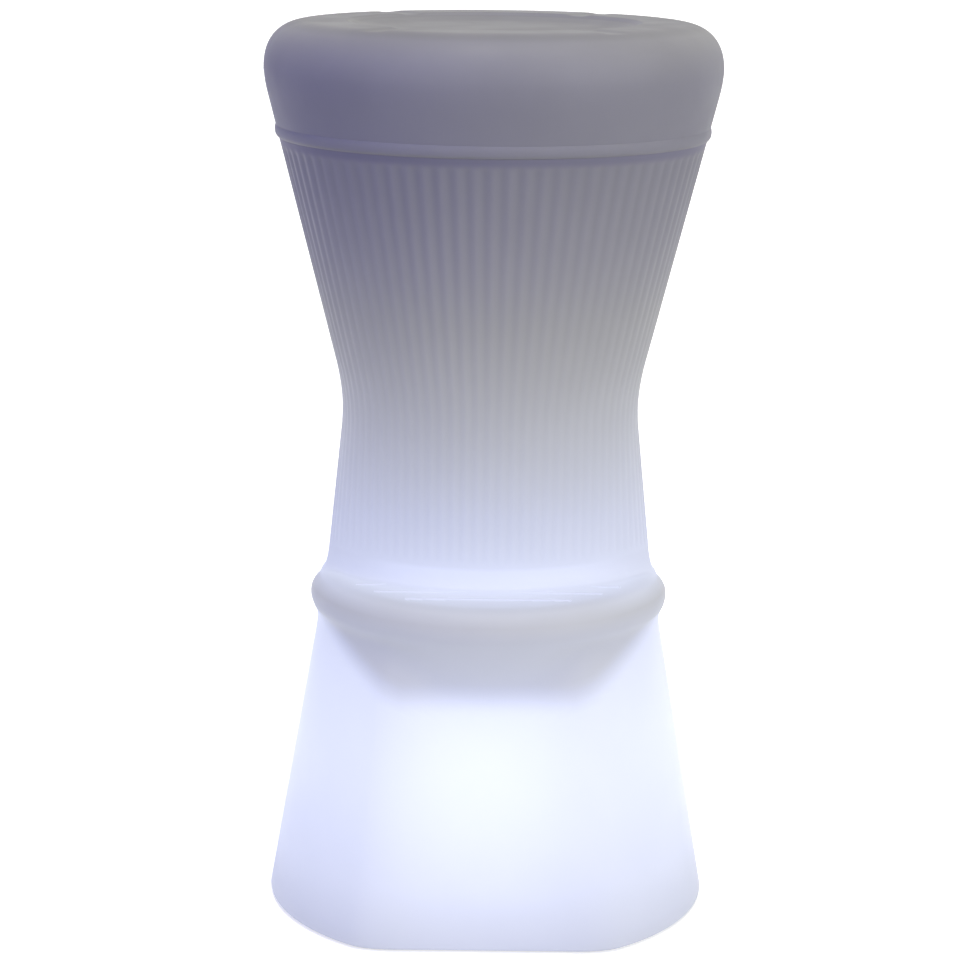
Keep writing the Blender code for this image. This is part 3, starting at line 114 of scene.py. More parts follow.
def mesh_from(name: str, points: np.ndarray, faces: Sequence[Sequence[int]],
              marks: dict[str, np.ndarray] | None = None) -> bpy.types.Mesh:
    """Make a clean mesh whose faces point out.

    Args:
        name: Name of the mesh.
        points: Points as rows of x, y and z.
        faces: Corner numbers of each face.
        marks: Named values of the points, which materials read.

    Returns:
        The mesh, shaded smooth with sharp creases.
    """
    mesh = bpy.data.meshes.new(name)
    mesh.from_pydata(points.tolist(), [], faces)
    for label, values in (marks or {}).items():
        mesh.attributes.new(label, "FLOAT", "POINT").data.foreach_set("value", values.astype(np.float32))
    work = bmesh.new()
    work.from_mesh(mesh)
    bmesh.ops.remove_doubles(work, verts=work.verts, dist=MERGE)
    bmesh.ops.recalc_face_normals(work, faces=work.faces)
    work.to_mesh(mesh)
    work.free()
    return shade(mesh)


def shade(mesh: bpy.types.Mesh) -> bpy.types.Mesh:
    """Shade a mesh smooth between sharp creases.

    Args:
        mesh: The mesh.

    Returns:
        The same mesh.
    """
    mesh.shade_smooth()
    mesh.set_sharp_from_angle(angle=SMOOTH_ANGLE)
    return mesh


def loft(rows: list[np.ndarray], first: Place, last: Place) -> tuple[np.ndarray, list[tuple[int, ...]]]:
    """Join rows of points round a form, each closed on itself, with a fan at each end.

    Args:
        rows: Rows from the first end to the last; a row may have half or twice the points of the row before.
        first: Middle point of the fan on the first row.
        last: Middle point of the fan on the last row.

    Returns:
        All points, and the corner numbers of each face.
    """
    starts = np.cumsum([0] + [len(row) for row in rows])
    faces: list[tuple[int, ...]] = []
    for number, (upper, lower) in enumerate(zip(rows, rows[1:])):
        count = min(len(upper), len(lower))
        here = np.arange(count)
        following = (here + 1) % count
        above, below = starts[number], starts[number + 1]
        if len(upper) == len(lower):
            quads = np.stack([above + here, above + following, below + following, below + here], axis=1)
            faces.extend(map(tuple, quads.tolist()))
            continue
        few, many = (above, below) if len(upper) < len(lower) else (below, above)
        after = (2 * here + 2) % (2 * count)
        for corners in ((few + here, many + 2 * here, many + 2 * here + 1),
                        (few + here, many + 2 * here + 1, few + following),
                        (few + following, many + 2 * here + 1, many + after)):
            faces.extend(map(tuple, np.stack(corners, axis=1).tolist()))
    total = int(starts[-1])
    for ring, middle in ((0, total), (len(rows) - 1, total + 1)):
        here = np.arange(len(rows[ring]))
        following = (here + 1) % len(here)
        fan = np.stack([np.full_like(here, middle), starts[ring] + here, starts[ring] + following], axis=1)
        faces.extend(map(tuple, fan.tolist()))
    return np.concatenate([*rows, [first], [last]]), faces


def smooth_step(value: np.ndarray | float, low: float, high: float) -> np.ndarray:
    """Rise smoothly from 0 at the low value to 1 at the high one."""
    share = np.clip((value - low) / (high - low), 0.0, 1.0)
    return share * share * (3 - 2 * share)


def spread(start: float, end: float, steps: int) -> np.ndarray:
    """Even steps from a start to an end, without the start."""
    return np.linspace(start, end, steps + 1)[1:]


def round_angles(count: int) -> np.ndarray:
    """Angles of the points of a row, all the way round the stool."""
    return np.arange(count) * 2 * pi / count


def polar(radius: np.ndarray | float, angle: np.ndarray, height: np.ndarray | float) -> np.ndarray:
    """Points at angles turned from the front of the stool towards +X."""
    return np.stack([radius * np.sin(angle), -radius * np.cos(angle), height + 0.0 * angle], axis=1)


def bezier(start: np.ndarray, corner: np.ndarray, end: np.ndarray, share: float) -> np.ndarray:
    """Point on the quadratic curve that rounds a corner."""
    return start * (1 - share) ** 2 + corner * (2 * share * (1 - share)) + end * share ** 2


def rounded_least(first: np.ndarray, second: np.ndarray | float, width: float) -> np.ndarray:
    """The smaller of two values, with their crossing rounded over a width."""
    overlap = np.maximum(width - np.abs(first - second), 0.0) / width
    return np.minimum(first, second) - overlap ** 2 * width / 4


def united(body: bpy.types.Mesh, added: bpy.types.Mesh, operation: str = "UNION") -> bpy.types.Mesh:
    """Unite two closed meshes, or cut the second out of the first.

    Args:
        body: The mesh that is changed.
        added: The mesh that is united with it or cut out of it.
        operation: UNION or DIFFERENCE.

    Returns:
        The new mesh.
    """
    holders = [bpy.data.objects.new(mesh.name, mesh) for mesh in (body, added)]
    for holder in holders:
        bpy.context.scene.collection.objects.link(holder)
    joint = holders[0].modifiers.new("join", "BOOLEAN")
    joint.solver = "MANIFOLD"
    joint.operation = operation
    joint.object = holders[1]
    seen = holders[0].evaluated_get(bpy.context.evaluated_depsgraph_get())
    mesh = bpy.data.meshes.new_from_object(seen)
    for holder in holders:
        bpy.data.objects.remove(holder)
    return mesh


def peg(work: bmesh.types.BMesh, middle: Place, radius: float, length: float, turn: Matrix = Matrix(),
        steps: int = 40) -> None:
    """Add a round peg.

    Args:
        work: Mesh that it is added to.
        middle: Place of its middle.
        radius: Its radius.
        length: Its length.
        turn: How it is turned from upright.
        steps: Sides of the peg.
    """
    bmesh.ops.create_cone(work, cap_ends=True, segments=steps, radius1=radius, radius2=radius, depth=length,
                          matrix=Matrix.Translation(middle) @ turn)


def block(work: bmesh.types.BMesh, middle: Place, size: Place, turn: Matrix = Matrix()) -> None:
    """Add a block with its middle at a place, turned about that place."""
    matrix = Matrix.Translation(middle) @ turn @ Matrix.Diagonal((*size, 1.0))
    bmesh.ops.create_cube(work, size=1.0, matrix=matrix)


def prism(work: bmesh.types.BMesh, near: Sequence[Place], far: Sequence[Place]) -> None:
    """Add a closed form between two outlines.

    Args:
        work: Mesh that it is added to.
        near: Points of the first outline.
        far: As many points of the second outline.
    """
    ends = [[work.verts.new(point) for point in outline] for outline in (near, far)]
    for number, corner in enumerate(ends[0]):
        after = (number + 1) % len(near)
        work.faces.new((corner, ends[0][after], ends[1][after], ends[1][number]))
    for end in ends:
        work.faces.new(end)


def square_places(circle: float, start: float) -> list[tuple[float, float]]:
    """X and Y of four places a quarter turn apart on a circle."""
    turns = [start + quarter * pi / 2 for quarter in range(4)]
    return [(circle * cos(turn), circle * sin(turn)) for turn in turns]


def closed_forms(work: bmesh.types.BMesh, name: str, marks: dict[str, float] | None = None) -> bpy.types.Mesh:
    """Turn closed forms into a mesh whose faces point out.

    Args:
        work: The closed forms, freed afterwards.
        name: Name of the mesh.
        marks: Named values that all its points take, which materials read.

    Returns:
        The mesh.
    """
    bmesh.ops.recalc_face_normals(work, faces=work.faces)
    mesh = bpy.data.meshes.new(name)
    work.to_mesh(mesh)
    work.free()
    for label, value in (marks or {}).items():
        values = mesh.attributes.new(label, "FLOAT", "POINT").data
        values.foreach_set("value", np.full(len(mesh.vertices), value, np.float32))
    return mesh


def turned(name: str, profile: Profile, steps: int,
           place: tuple[float, float] = (0.0, 0.0)) -> bpy.types.Mesh:
    """Turn a profile round an upright axis.

    Args:
        name: Name of the mesh.
        profile: Radius and height of each point, from the axis round to the axis.
        steps: Points round the axis.
        place: X and Y of the axis.

    Returns:
        The closed mesh.
    """
    angle = round_angles(steps)
    rows = [polar(radius, angle, level) for radius, level in profile[1:-1]]
    points, faces = loft(rows, (0.0, 0.0, profile[0][1]), (0.0, 0.0, profile[-1][1]))
    return mesh_from(name, points + np.array([*place, 0.0]), faces)


def rounded_profile(corners: Profile, legs: Sequence[float], steps: int) -> Profile:
    """Round the inner corners of an open profile.

    Args:
        corners: Radius and height of each corner.
        legs: How far the rounding reaches along each side, for each inner corner; 0 keeps it sharp.
        steps: Points of each rounding.

    Returns:
        Radius and height of each point.
    """
    points = [np.array(corner) for corner in corners]
    rounded = [points[0]]
    for before, corner, after, leg in zip(points, points[1:], points[2:], legs):
        if leg == 0:
            rounded.append(corner)
            continue
        start = corner + (before - corner) / np.linalg.norm(before - corner) * leg
        end = corner + (after - corner) / np.linalg.norm(after - corner) * leg
        rounded += [bezier(start, corner, end, share) for share in np.linspace(0.0, 1.0, steps)]
    rounded.append(points[-1])
    return [(float(radius), float(height)) for radius, height in rounded]


@dataclass
class ShellForm:
    """Surface of the moulded shell, as rows of points round the stool."""

    height: float
    base_radius: float
    floor: float
    seat_radius: float = 0.1914
    seat_depth: float = 0.0394
    shoulder_run: float = 0.0385
    shoulder_fullness: float = 2.35
    seat_edge_blend: float = 0.003
    rim_width: float = 0.0304
    dish_depth: float = 0.008
    dish_radius_shares: tuple[float, ...] = (0.42, 0.82, 0.96)
    dish_depth_shares: tuple[float, ...] = (1.0, 0.80, 0.36)
    dish_legs: tuple[float, ...] = (0.018, 0.007, 0.0025, 0.0022)
    notch_angle: float = radians(36)
    notch_half_width: float = 0.009
    notch_edge: float = 0.005
    notch_depth: float = 0.0015
    notch_lead: float = 0.0145
    bead_drop: float = 0.0525
    bead_size: float = 0.0070
    bead_proud: float = 0.0021
    bead_lead: float = 0.0032
    bead_lead_power: float = 1.8
    # Reach of the painted shade below the bead, where its shadow falls.
    bead_shade_reach: float = 0.006
    seat_overhang: float = 0.0114
    waist_height: float = 0.4447
    waist_radius: float = 0.1243
    waist_blend: float = 0.0305
    rib_count: int = 80
    rib_depth: float = 0.0010
    rib_run_in: float = 0.008
    rib_low_share: float = 0.42
    rib_full_levels: tuple[float, float] = (0.40, 0.60)
    rib_spread: int = 5
    tread_height: float = 0.292
    side_flare: float = 0.016
    scoop_depth: float = 0.0475
    cove_radius: float = 0.020
    cove_least_share: float = 0.3
    lip_overhang: float = 0.0137
    lip_roll: float = 0.020
    lip_turns: tuple[float, ...] = (40, 70, 95)
    lip_start_share: float = 0.4
    chin_angle: float = radians(25.5)
    chin_blend: float = 0.014
    chin_blend_share: float = 0.6
    ledge_depth: float = 0.080
    ledge_weights: tuple[int, ...] = (2, 2, 1, 1, 1, 1, 1, 2)
    ledge_shade_shares: tuple[float, ...] = (-0.10, 0.04, 0.19, 0.32, 0.42, 0.36, 0.34, 0.38, 0.41)
    shade_border: float = 0.215
    shade_border_rise: float = 0.056
    shade_corner: float = 0.48
    shade_corner_power: float = 1.25
    side_glow: float = 1.3
    side_glow_range: tuple[float, float] = (0.50, 0.95)
    side_glow_stretches: float = 4.0
    shade_below: float = 0.017
    shade_above: float = 0.013
    ridge_front: float = 0.110
    ridge_pitch: float = 0.022
    ridge_count: int = 3
    ridge_width: float = 0.0032
    ridge_top_share: float = 0.45
    ridge_proud: float = 0.0012
    ridge_sunk: float = 0.0008
    ridge_end_gap: float = 0.004
    ridge_seat: float = 0.0075
    ridge_shade: float = 0.09
    groove_width: float = 0.0036
    groove_depth: float = 0.0005
    groove_shade: float = 0.24
    groove_end_gap: float = 0.0050
    lip_fade_start: float = radians(85)
    lip_fade_end: float = radians(118)
    front_flat: float = 0.0289
    front_lean: float = 0.0179
    base_corner: float = 0.012
    base_edge: float = 0.003
    base_facing_share: float = 0.2
    base_row_power: float = 1.5
    front_ring: float = 0.017
    recess_draft: float = 0.005
    recess_top: float = 0.030
    recess_round: float = 0.003
    opening_radius: float = 0.062
    wall: float = 0.005
    pocket_circle: float = 0.16745
    pocket_radius: float = 0.0103
    pocket_depth: float = 0.003
    insert_circle: float = 0.070
    boss_radius: float = 0.0066
    boss_rise: float = 0.009
    insert_hole_radius: float = 0.0035
    insert_hole_depth: float = 0.0106
    rib_steps: tuple[int, ...] = (5, 9, 14, 9, 5)
    foot_edge_steps: int = 6
    recess_corner_steps: int = 5
    ceiling_steps: int = 4
    skin_column_steps: tuple[int, ...] = (3, 5, 3)
    skin_ledge_steps: tuple[int, ...] = (4, 2, 2, 2, 2, 2, 2, 4)
    skin_base_steps: int = 3

    def __post_init__(self) -> None:
        """Work out the levels, radii and slopes that follow from the sizes."""
        self.widest = self.height - self.seat_depth
        self.bead_height = self.widest - self.bead_drop
        self.rim_radius = self.seat_radius - self.shoulder_run
        self.dish_radius = self.rim_radius - self.rim_width
        self.side_radius = self.waist_radius + self.side_flare
        self.lip_centre = self.side_radius + self.lip_overhang - self.lip_roll
        self.blend_top = self.waist_height + self.waist_blend
        self.blend_foot = self.waist_height - self.waist_blend
        self.cove_top = self.tread_height + self.cove_radius
        self.base_front = self.base_radius - self.front_flat
        self.recess_radius = self.base_front - self.front_ring - self.recess_draft
        upper = self.seat_radius - self.seat_overhang - self.waist_radius
        below_waist = self.waist_height - self.tread_height
        self.upper_slope = upper / (self.bead_height - self.waist_height)
        self.side_slope = self.side_flare / below_waist
        self.scoop_slope = -self.scoop_depth / below_waist
        self.base_slope = (self.base_radius - self.side_radius) / self.tread_height
        self.base_front_slope = (self.base_front - self.side_radius + self.front_lean) / self.tread_height

    def column_radius(self, height: float, slope_below: float) -> float:
        """Radius of the column: the upper cone, the waist blend and the slope below the waist.

        Args:
            height: Height above the floor.
            slope_below: Radius gained with each metre below the waist.

        Returns:
            The radius.
        """
        level = (height - self.waist_height) / self.waist_blend
        if level >= 1:
            return self.waist_radius + self.upper_slope * (height - self.waist_height)
        if level <= -1:
            return self.waist_radius + slope_below * (self.waist_height - height)
        blend = self.upper_slope * (1 + level) ** 2 + slope_below * (1 - level) ** 2
        return self.waist_radius + blend * self.waist_blend / 4

    def scoop_arc(self, height: float) -> tuple[float, float]:
        """Radius and centre of the flat arc that draws in the column's front.

        Args:
            height: Height above the floor.

        Returns:
            Radius of the arc, and how far its centre lies behind the stool's middle.
        """
        side = self.column_radius(height, self.side_slope)
        front = self.column_radius(height, self.scoop_slope)
        return (side ** 2 / front + front) / 2, (side ** 2 / front - front) / 2

    def column_row(self, angle: np.ndarray, height: float) -> np.ndarray:
        """Row of the column before its ribs; below the waist the front ribs run parallel.

        Args:
            angle: Angles of the row's points.
            height: Height above the floor.

        Returns:
            The points.
        """
        side = self.column_radius(height, self.side_slope)
        round_row = polar(side, angle, height)
        if height >= self.blend_top:
            return round_row
        narrow = side
        if height < self.waist_height:
            narrow = self.column_radius(self.waist_height, self.side_slope)
        across = narrow * np.sin(angle) + (side - narrow) * np.sin(angle) ** self.rib_spread
        arc_radius, arc_centre = self.scoop_arc(height)
        depth = arc_centre - np.sqrt(np.maximum(arc_radius ** 2 - across ** 2, 0.0))
        front_row = np.stack([across, depth, np.full_like(angle, height)], axis=1)
        return np.where((np.cos(angle) > 0)[:, None], front_row, round_row)

    def base_row_radius(self, height: np.ndarray | float, angle: np.ndarray) -> np.ndarray:
        """Radius of the base cone, cut flat at the front.

        Args:
            height: Height above the floor, one for all points or one for each.
            angle: Angles of the points.

        Returns:
            Radius of each point.
        """
        round_radius = self.base_radius - self.base_slope * height + 0.0 * angle
        facing = np.maximum(np.cos(angle), self.base_facing_share)
        flat_radius = (self.base_front - self.base_front_slope * height) / facing
        cut = rounded_least(round_radius, flat_radius, self.base_corner)
        return np.where(np.cos(angle) > self.base_facing_share, cut, round_radius)

    def ledge_curve(self, run: np.ndarray) -> tuple[np.ndarray, np.ndarray]:
        """Radius and height on the tread and the rolled lip, by the distance run out along them.

        Args:
            run: Distance of each point.

        Returns:
            Radius and height of each point.
        """
        past = np.maximum(run - self.lip_centre, 0.0) / self.lip_roll
        radius = np.where(past > 0, self.lip_centre + self.lip_roll * np.sin(past), run)
        return radius, self.tread_height - self.lip_roll * (1 - np.cos(past))

    def chin_points(self, angle: np.ndarray, run: float) -> tuple[np.ndarray, np.ndarray, np.ndarray]:
        """Rows that guide the foot of the chin, where it rounds into the base.

        Args:
            angle: Angles of a row's points.
            run: Distance out along the ledge at which the chin starts.

        Returns:
            Start, corner and end of the rounding.
        """
        radius, height = (float(value) for value in self.ledge_curve(np.array(run)))
        low = self.base_row_radius(0.0, angle)
        high = self.base_row_radius(height, angle)
        drop = (radius - high) / (tan(self.chin_angle) + (low - high) / height)
        meet = height - drop
        leg = np.minimum(self.chin_blend, drop * self.chin_blend_share)
        start = polar(radius - tan(self.chin_angle) * (drop - leg), angle, meet + leg)
        corner = polar(self.base_row_radius(meet, angle), angle, meet)
        foot = meet - self.chin_blend
        return start, corner, polar(self.base_row_radius(foot, angle), angle, foot)

    def ledge_stretches(self, angle: np.ndarray) -> list[Callable[[float], np.ndarray]]:
        """Stretches down the front: cove, tread, its end, each roll of the lip, chin and chin's foot.

        Args:
            angle: Angles of a row's points, from -pi to pi.

        Returns:
            For each stretch, what gives the row at a share of the way along it.
        """
        inner = self.column_row(angle, self.tread_height)
        inner_radius = np.hypot(inner[:, 0], inner[:, 1])
        inner_angle = np.arctan2(inner[:, 0], -inner[:, 1])
        past = np.clip((inner_radius - self.lip_centre) / self.lip_roll, 0.0, 1.0)
        inner_run = np.where(past > 0, self.lip_centre + self.lip_roll * np.arcsin(past), inner_radius)
        roll_runs = [self.lip_centre + self.lip_roll * radians(turn) for turn in self.lip_turns]
        roll_runs.append(self.lip_centre + self.lip_roll * (pi / 2 + self.chin_angle))
        room = np.maximum((self.lip_centre - inner_run) / 2, self.cove_radius * self.cove_least_share)
        cove_run = inner_run + np.minimum(self.cove_radius, room)
        lip_run = np.maximum(self.lip_centre, cove_run + self.lip_start_share * (roll_runs[0] - cove_run))

        def on_ledge(run: np.ndarray) -> np.ndarray:
            """Row on the ledge, turned from the column's own angles to the row's by the lip.

            Args:
                run: Distance of each point out along the ledge.

            Returns:
                The points.
            """
            share = np.minimum((run - inner_run) / (roll_runs[0] - inner_run), 1.0)
            radius, height = self.ledge_curve(run)
            return polar(radius, inner_angle + (angle - inner_angle) * share, height)

        cove_top = self.column_row(angle, self.cove_top)
        corner = on_ledge(inner_run)
        roll_end = on_ledge(np.full_like(angle, roll_runs[-1]))
        chin_start, chin_corner, chin_end = self.chin_points(angle, roll_runs[-1])
        rolls = [lip_run, *[np.full_like(angle, run) for run in roll_runs]]
        stretches: list[Callable[[float], np.ndarray]] = [
            lambda share: bezier(cove_top, corner, on_ledge(cove_run), share),
            lambda share: on_ledge(cove_run + (lip_run - cove_run) * share)]
        stretches += [lambda share, start=start, end=end: on_ledge(start + (end - start) * share)
                      for start, end in zip(rolls, rolls[1:])]
        stretches.append(lambda share: roll_end + (chin_start - roll_end) * share)
        stretches.append(lambda share: bezier(chin_start, chin_corner, chin_end, share))
        return stretches

    def ledge_rows(self, angle: np.ndarray, steps: Sequence[int]) -> list[tuple[np.ndarray, np.ndarray]]:
        """Rows down the sides: ledge, lip and chin at the front, plain behind, with a smooth fade between.

        Args:
            angle: Angles of a row's points.
            steps: Rows of each stretch.

        Returns:
            Rows from below the ribs to the start of the base, with the share of the glow lost at each point.
        """
        angle = np.arctan2(np.sin(angle), np.cos(angle))
        fade = smooth_step(np.abs(angle), self.lip_fade_start, self.lip_fade_end)[:, None]
        side = self.side_glow * smooth_step(np.abs(np.sin(angle)), *self.side_glow_range)
        bottom = self.tread_height - self.ledge_depth
        whole = sum(self.ledge_weights)
        shades = self.ledge_shade_shares
        chin_number = len(steps) - 2
        rows = []
        passed = 0
        for number, stretch in enumerate(self.ledge_stretches(angle)):
            weight = self.ledge_weights[number]
            for share in spread(0.0, 1.0, steps[number]):
                level = self.cove_top + (bottom - self.cove_top) * (passed + weight * share) / whole
                if level > self.tread_height:
                    radius = self.column_radius(level, self.side_slope) + 0.0 * angle
                else:
                    radius = self.base_row_radius(level, angle)
                front = stretch(share)
                row = front + (polar(radius, angle, level) - front) * fade
                lost = (shades[number] + (shades[number + 1] - shades[number]) * share) * (1 - fade[:, 0])
                lost = lost * (1 - side * max(1 - (number + share) / self.side_glow_stretches, 0.0))
                if number >= chin_number:
                    lost = lost * self.chin_shade(row[:, 2], angle)
                rows.append((row, lost))
            passed += weight
        return rows

    def chin_shade(self, height: np.ndarray, angle: np.ndarray) -> np.ndarray:
        """1 on the chin, falling to 0 past the line where its shadow on the base ends.

        Args:
            height: Height of each point.
            angle: Angles of the points.

        Returns:
            The value at each point.
        """
        aside = np.maximum(np.abs(np.sin(angle)) - self.shade_corner, 0.0) / (1 - self.shade_corner)
        border = self.shade_border + self.shade_border_rise * aside ** self.shade_corner_power
        return smooth_step(height - border, -self.shade_below, self.shade_above)

    def notch(self, row: np.ndarray) -> np.ndarray:
        """Lower the points of a row that lie in one of the four drain notches.

        Args:
            row: The row, which is changed.

        Returns:
            The same row.
        """
        across, ahead = np.abs(row[:, 0]), np.abs(row[:, 1])
        off = np.abs(across * cos(self.notch_angle) - ahead * sin(self.notch_angle))
        along = across * sin(self.notch_angle) + ahead * cos(self.notch_angle)
        start = self.dish_radius - self.notch_lead
        half, edge = self.notch_half_width, self.notch_edge
        inside = (1 - smooth_step(off, half - edge, half + edge)) * smooth_step(along, start, start + edge)
        floor = self.height - self.notch_depth
        row[:, 2] -= np.maximum(row[:, 2] - floor, 0.0) * inside
        return row

    def seat_rows(self, count: int, fine: bool) -> list[np.ndarray]:
        """Rows of the dish, the rim, the full shoulder and the seat's side down to the bead.

        Args:
            count: Points of a row; the rows in the middle of the dish have half as many.
            fine: Close rows with the drain notches, or the few plain ones that the inner skin follows.

        Returns:
            Rows from the middle of the dish out and down.
        """
        angle, few = round_angles(count), round_angles(count // 2)
        middle_shares, middle_rows, corner_steps = ((0.3, 0.6), 5, 6) if fine else ((0.6,), 2, 3)
        shoulder_steps, side_steps = (25, 9) if fine else (9, 3)
        corners = [(0.0, self.height - self.dish_depth)]
        corners += [(self.dish_radius * out, self.height - self.dish_depth * down)
                    for out, down in zip(self.dish_radius_shares, self.dish_depth_shares)]
        corners += [(self.dish_radius, self.height), (self.rim_radius, self.height)]
        profile = rounded_profile(corners, self.dish_legs, corner_steps)[1:]
        middle = [(profile[0][0] * share, profile[0][1]) for share in middle_shares]
        rows = [polar(radius, few, level) for radius, level in middle + profile[:middle_rows]]
        rows += [polar(radius, angle, level) for radius, level in profile[middle_rows:-1]]
        if fine:
            rim = spread(profile[-2][0], self.rim_radius, 8)[:-1]
            rows += [polar(radius, angle, self.height) for radius in rim]
        power = 2 / self.shoulder_fullness
        for turn in np.radians(np.linspace(0.0, 90.0, shoulder_steps)):
            rows.append(polar(self.rim_radius + self.shoulder_run * sin(turn) ** power, angle,
                              self.widest + self.seat_depth * max(cos(turn), 0.0) ** power))
        end = self.bead_height + self.bead_size / 2 + self.bead_lead
        for level in spread(self.widest, end, side_steps):
            radius = rounded_least(np.array(self.column_radius(level, self.side_slope)), self.seat_radius,
                                   self.seat_edge_blend)
            rows.append(polar(float(radius), angle, level))
        return [self.notch(row) for row in rows] if fine else rows

    def bead_rows(self, angle: np.ndarray, steps: int) -> list[np.ndarray]:
        """Rows of the bead, which swells slowly from above and turns in quickly below.

        Args:
            angle: Angles of the points.
            steps: Number of rows.

        Returns:
            The rows.
        """
        rows = []
        for turn in spread(0.0, pi, steps):
            level = self.bead_height + cos(turn) * self.bead_size / 2
            if turn < pi / 2:
                level += cos(turn) * self.bead_lead
            proud = self.bead_proud * sin(turn) ** (self.bead_lead_power if turn < pi / 2 else 1.0)
            rows.append(polar(self.column_radius(level, self.side_slope) + proud, angle, level))
        return rows

    def rib_wave(self, count: int) -> np.ndarray:
        """How deep the points of a row lie between the ribs, from 0 on a rib to 1 in a valley."""
        return 0.5 - 0.5 * np.cos(2 * pi * np.arange(count) * self.rib_count / count)

    def rib_rows(self, count: int) -> list[tuple[np.ndarray, float]]:
        """Rows of the ribbed column.

        Args:
            count: Points of a row.

        Returns:
            Rows from the bead to the ledge, with the strength of the ribs at each.
        """
        angle = round_angles(count)
        top = self.bead_height - self.bead_size
        foot = self.cove_top
        run_in = self.rib_run_in
        ends = (top, top - run_in, self.blend_top, self.blend_foot, foot + run_in, foot)
        levels = [top]
        for start, end, steps in zip(ends, ends[1:], self.rib_steps):
            levels += [*spread(start, end, steps)]
        valley = self.rib_wave(count)
        rows = []
        for level in levels:
            inside = smooth_step(top - level, 0.0, run_in) * smooth_step(level - foot, 0.0, run_in)
            full = smooth_step(level, *self.rib_full_levels)
            strength = float(inside * (self.rib_low_share + (1 - self.rib_low_share) * full))
            row = self.column_row(angle, level)
            inward = -row[:, :2] / np.hypot(row[:, 0], row[:, 1])[:, None]
            row[:, :2] += inward * (self.rib_depth * strength * valley)[:, None]
            rows.append((row, strength))
        return rows

    def base_rows(self, start: np.ndarray, angle: np.ndarray,
                  steps: int) -> list[tuple[np.ndarray, np.ndarray]]:
        """Rows of the base down to its rounded foot edge.

        Args:
            start: The last row of the ledge.
            angle: Angles of the points.
            steps: Rows down to the foot edge.

        Returns:
            The rows, with the share of the glow lost at each point.
        """
        turned = np.abs(np.arctan2(np.sin(angle), np.cos(angle)))
        in_front = 1 - smooth_step(turned, self.lip_fade_start, self.lip_fade_end)
        edge = self.floor + self.base_edge
        rows = []
        for share in spread(0.0, 1.0, steps) ** self.base_row_power:
            level = start[:, 2] + (edge - start[:, 2]) * share
            lost = self.ledge_shade_shares[-1] * self.chin_shade(level, angle) * in_front
            rows.append((polar(self.base_row_radius(level, angle), angle, level), lost))
        foot = self.base_row_radius(edge, angle)
        for turn in spread(0.0, pi / 2, self.foot_edge_steps):
            row = polar(foot - self.base_edge * (1 - cos(turn)), angle, edge - self.base_edge * sin(turn))
            rows.append((row, np.zeros_like(angle)))
        return rows

    def ridge_bars(self) -> list[tuple[float, float, float]]:
        """Straight stretches of the anti-slip ridges, split where the column stands in their way.

        Returns:
            Start, end and distance in front of the stool's middle of each stretch.
        """
        arc_radius, arc_centre = self.scoop_arc(self.tread_height)
        bars = []
        for number in range(self.ridge_count):
            depth = self.ridge_front - self.ridge_pitch * number
            reach = ((self.lip_centre - self.ridge_end_gap) ** 2 - depth ** 2) ** 0.5
            hidden = (arc_radius + self.ridge_seat) ** 2 - (arc_centre + depth) ** 2
            if hidden <= 0:
                bars.append((-reach, reach, depth))
            else:
                bars += [(-reach, -hidden ** 0.5, depth), (hidden ** 0.5, reach, depth)]
        return bars

    def underside_rows(self, start: np.ndarray, count: int) -> list[np.ndarray]:
        """Rows of the foot ring, the recess and its ceiling in to the lamp opening.

        Args:
            start: The last row of the base.
            count: Points of a row; the ceiling's rows have half as many.

        Returns:
            The rows.
        """
        mouth = self.recess_radius + self.recess_draft
        corners = [(mouth + 2 * self.recess_round, self.floor), (mouth, self.floor),
                   (self.recess_radius, self.recess_top), (self.opening_radius, self.recess_top)]
        legs = (self.recess_round / 2, self.recess_round)
        profile = rounded_profile(corners, legs, self.recess_corner_steps)
        angle, few = round_angles(count), round_angles(count // 2)
        rows = [start + (polar(profile[0][0], angle, self.floor) - start) * share for share in (0.5, 1.0)]
        rows += [polar(radius, angle, level) for radius, level in profile[1:-1]]
        rows += [polar(radius, few, self.recess_top)
                 for radius in spread(profile[-2][0], self.opening_radius, self.ceiling_steps)]
        return rows

    def skin_rows(self, count: int) -> list[np.ndarray]:
        """Plain rows of the outside, which the inner skin follows, from the dish to the recess.

        Args:
            count: Points of a row.

        Returns:
            The rows.
        """
        angle = round_angles(count)
        ends = (self.bead_height, self.blend_top, self.blend_foot, self.cove_top)
        rows = self.seat_rows(count, fine=False)[1:-1]
        for start, end, steps in zip(ends, ends[1:], self.skin_column_steps):
            rows += [self.column_row(angle, level) for level in spread(start, end, steps)]
        rows += [row for row, _ in self.ledge_rows(angle, self.skin_ledge_steps)]
        base = rows[-1]
        for share in spread(0.0, 1.0, self.skin_base_steps):
            level = base[:, 2] + (self.floor - base[:, 2]) * share
            rows.append(polar(self.base_row_radius(level, angle), angle, level))
        rows += [polar(self.recess_radius + self.recess_draft, angle, self.floor),
                 polar(self.recess_radius, angle, self.recess_top)]
        return rows


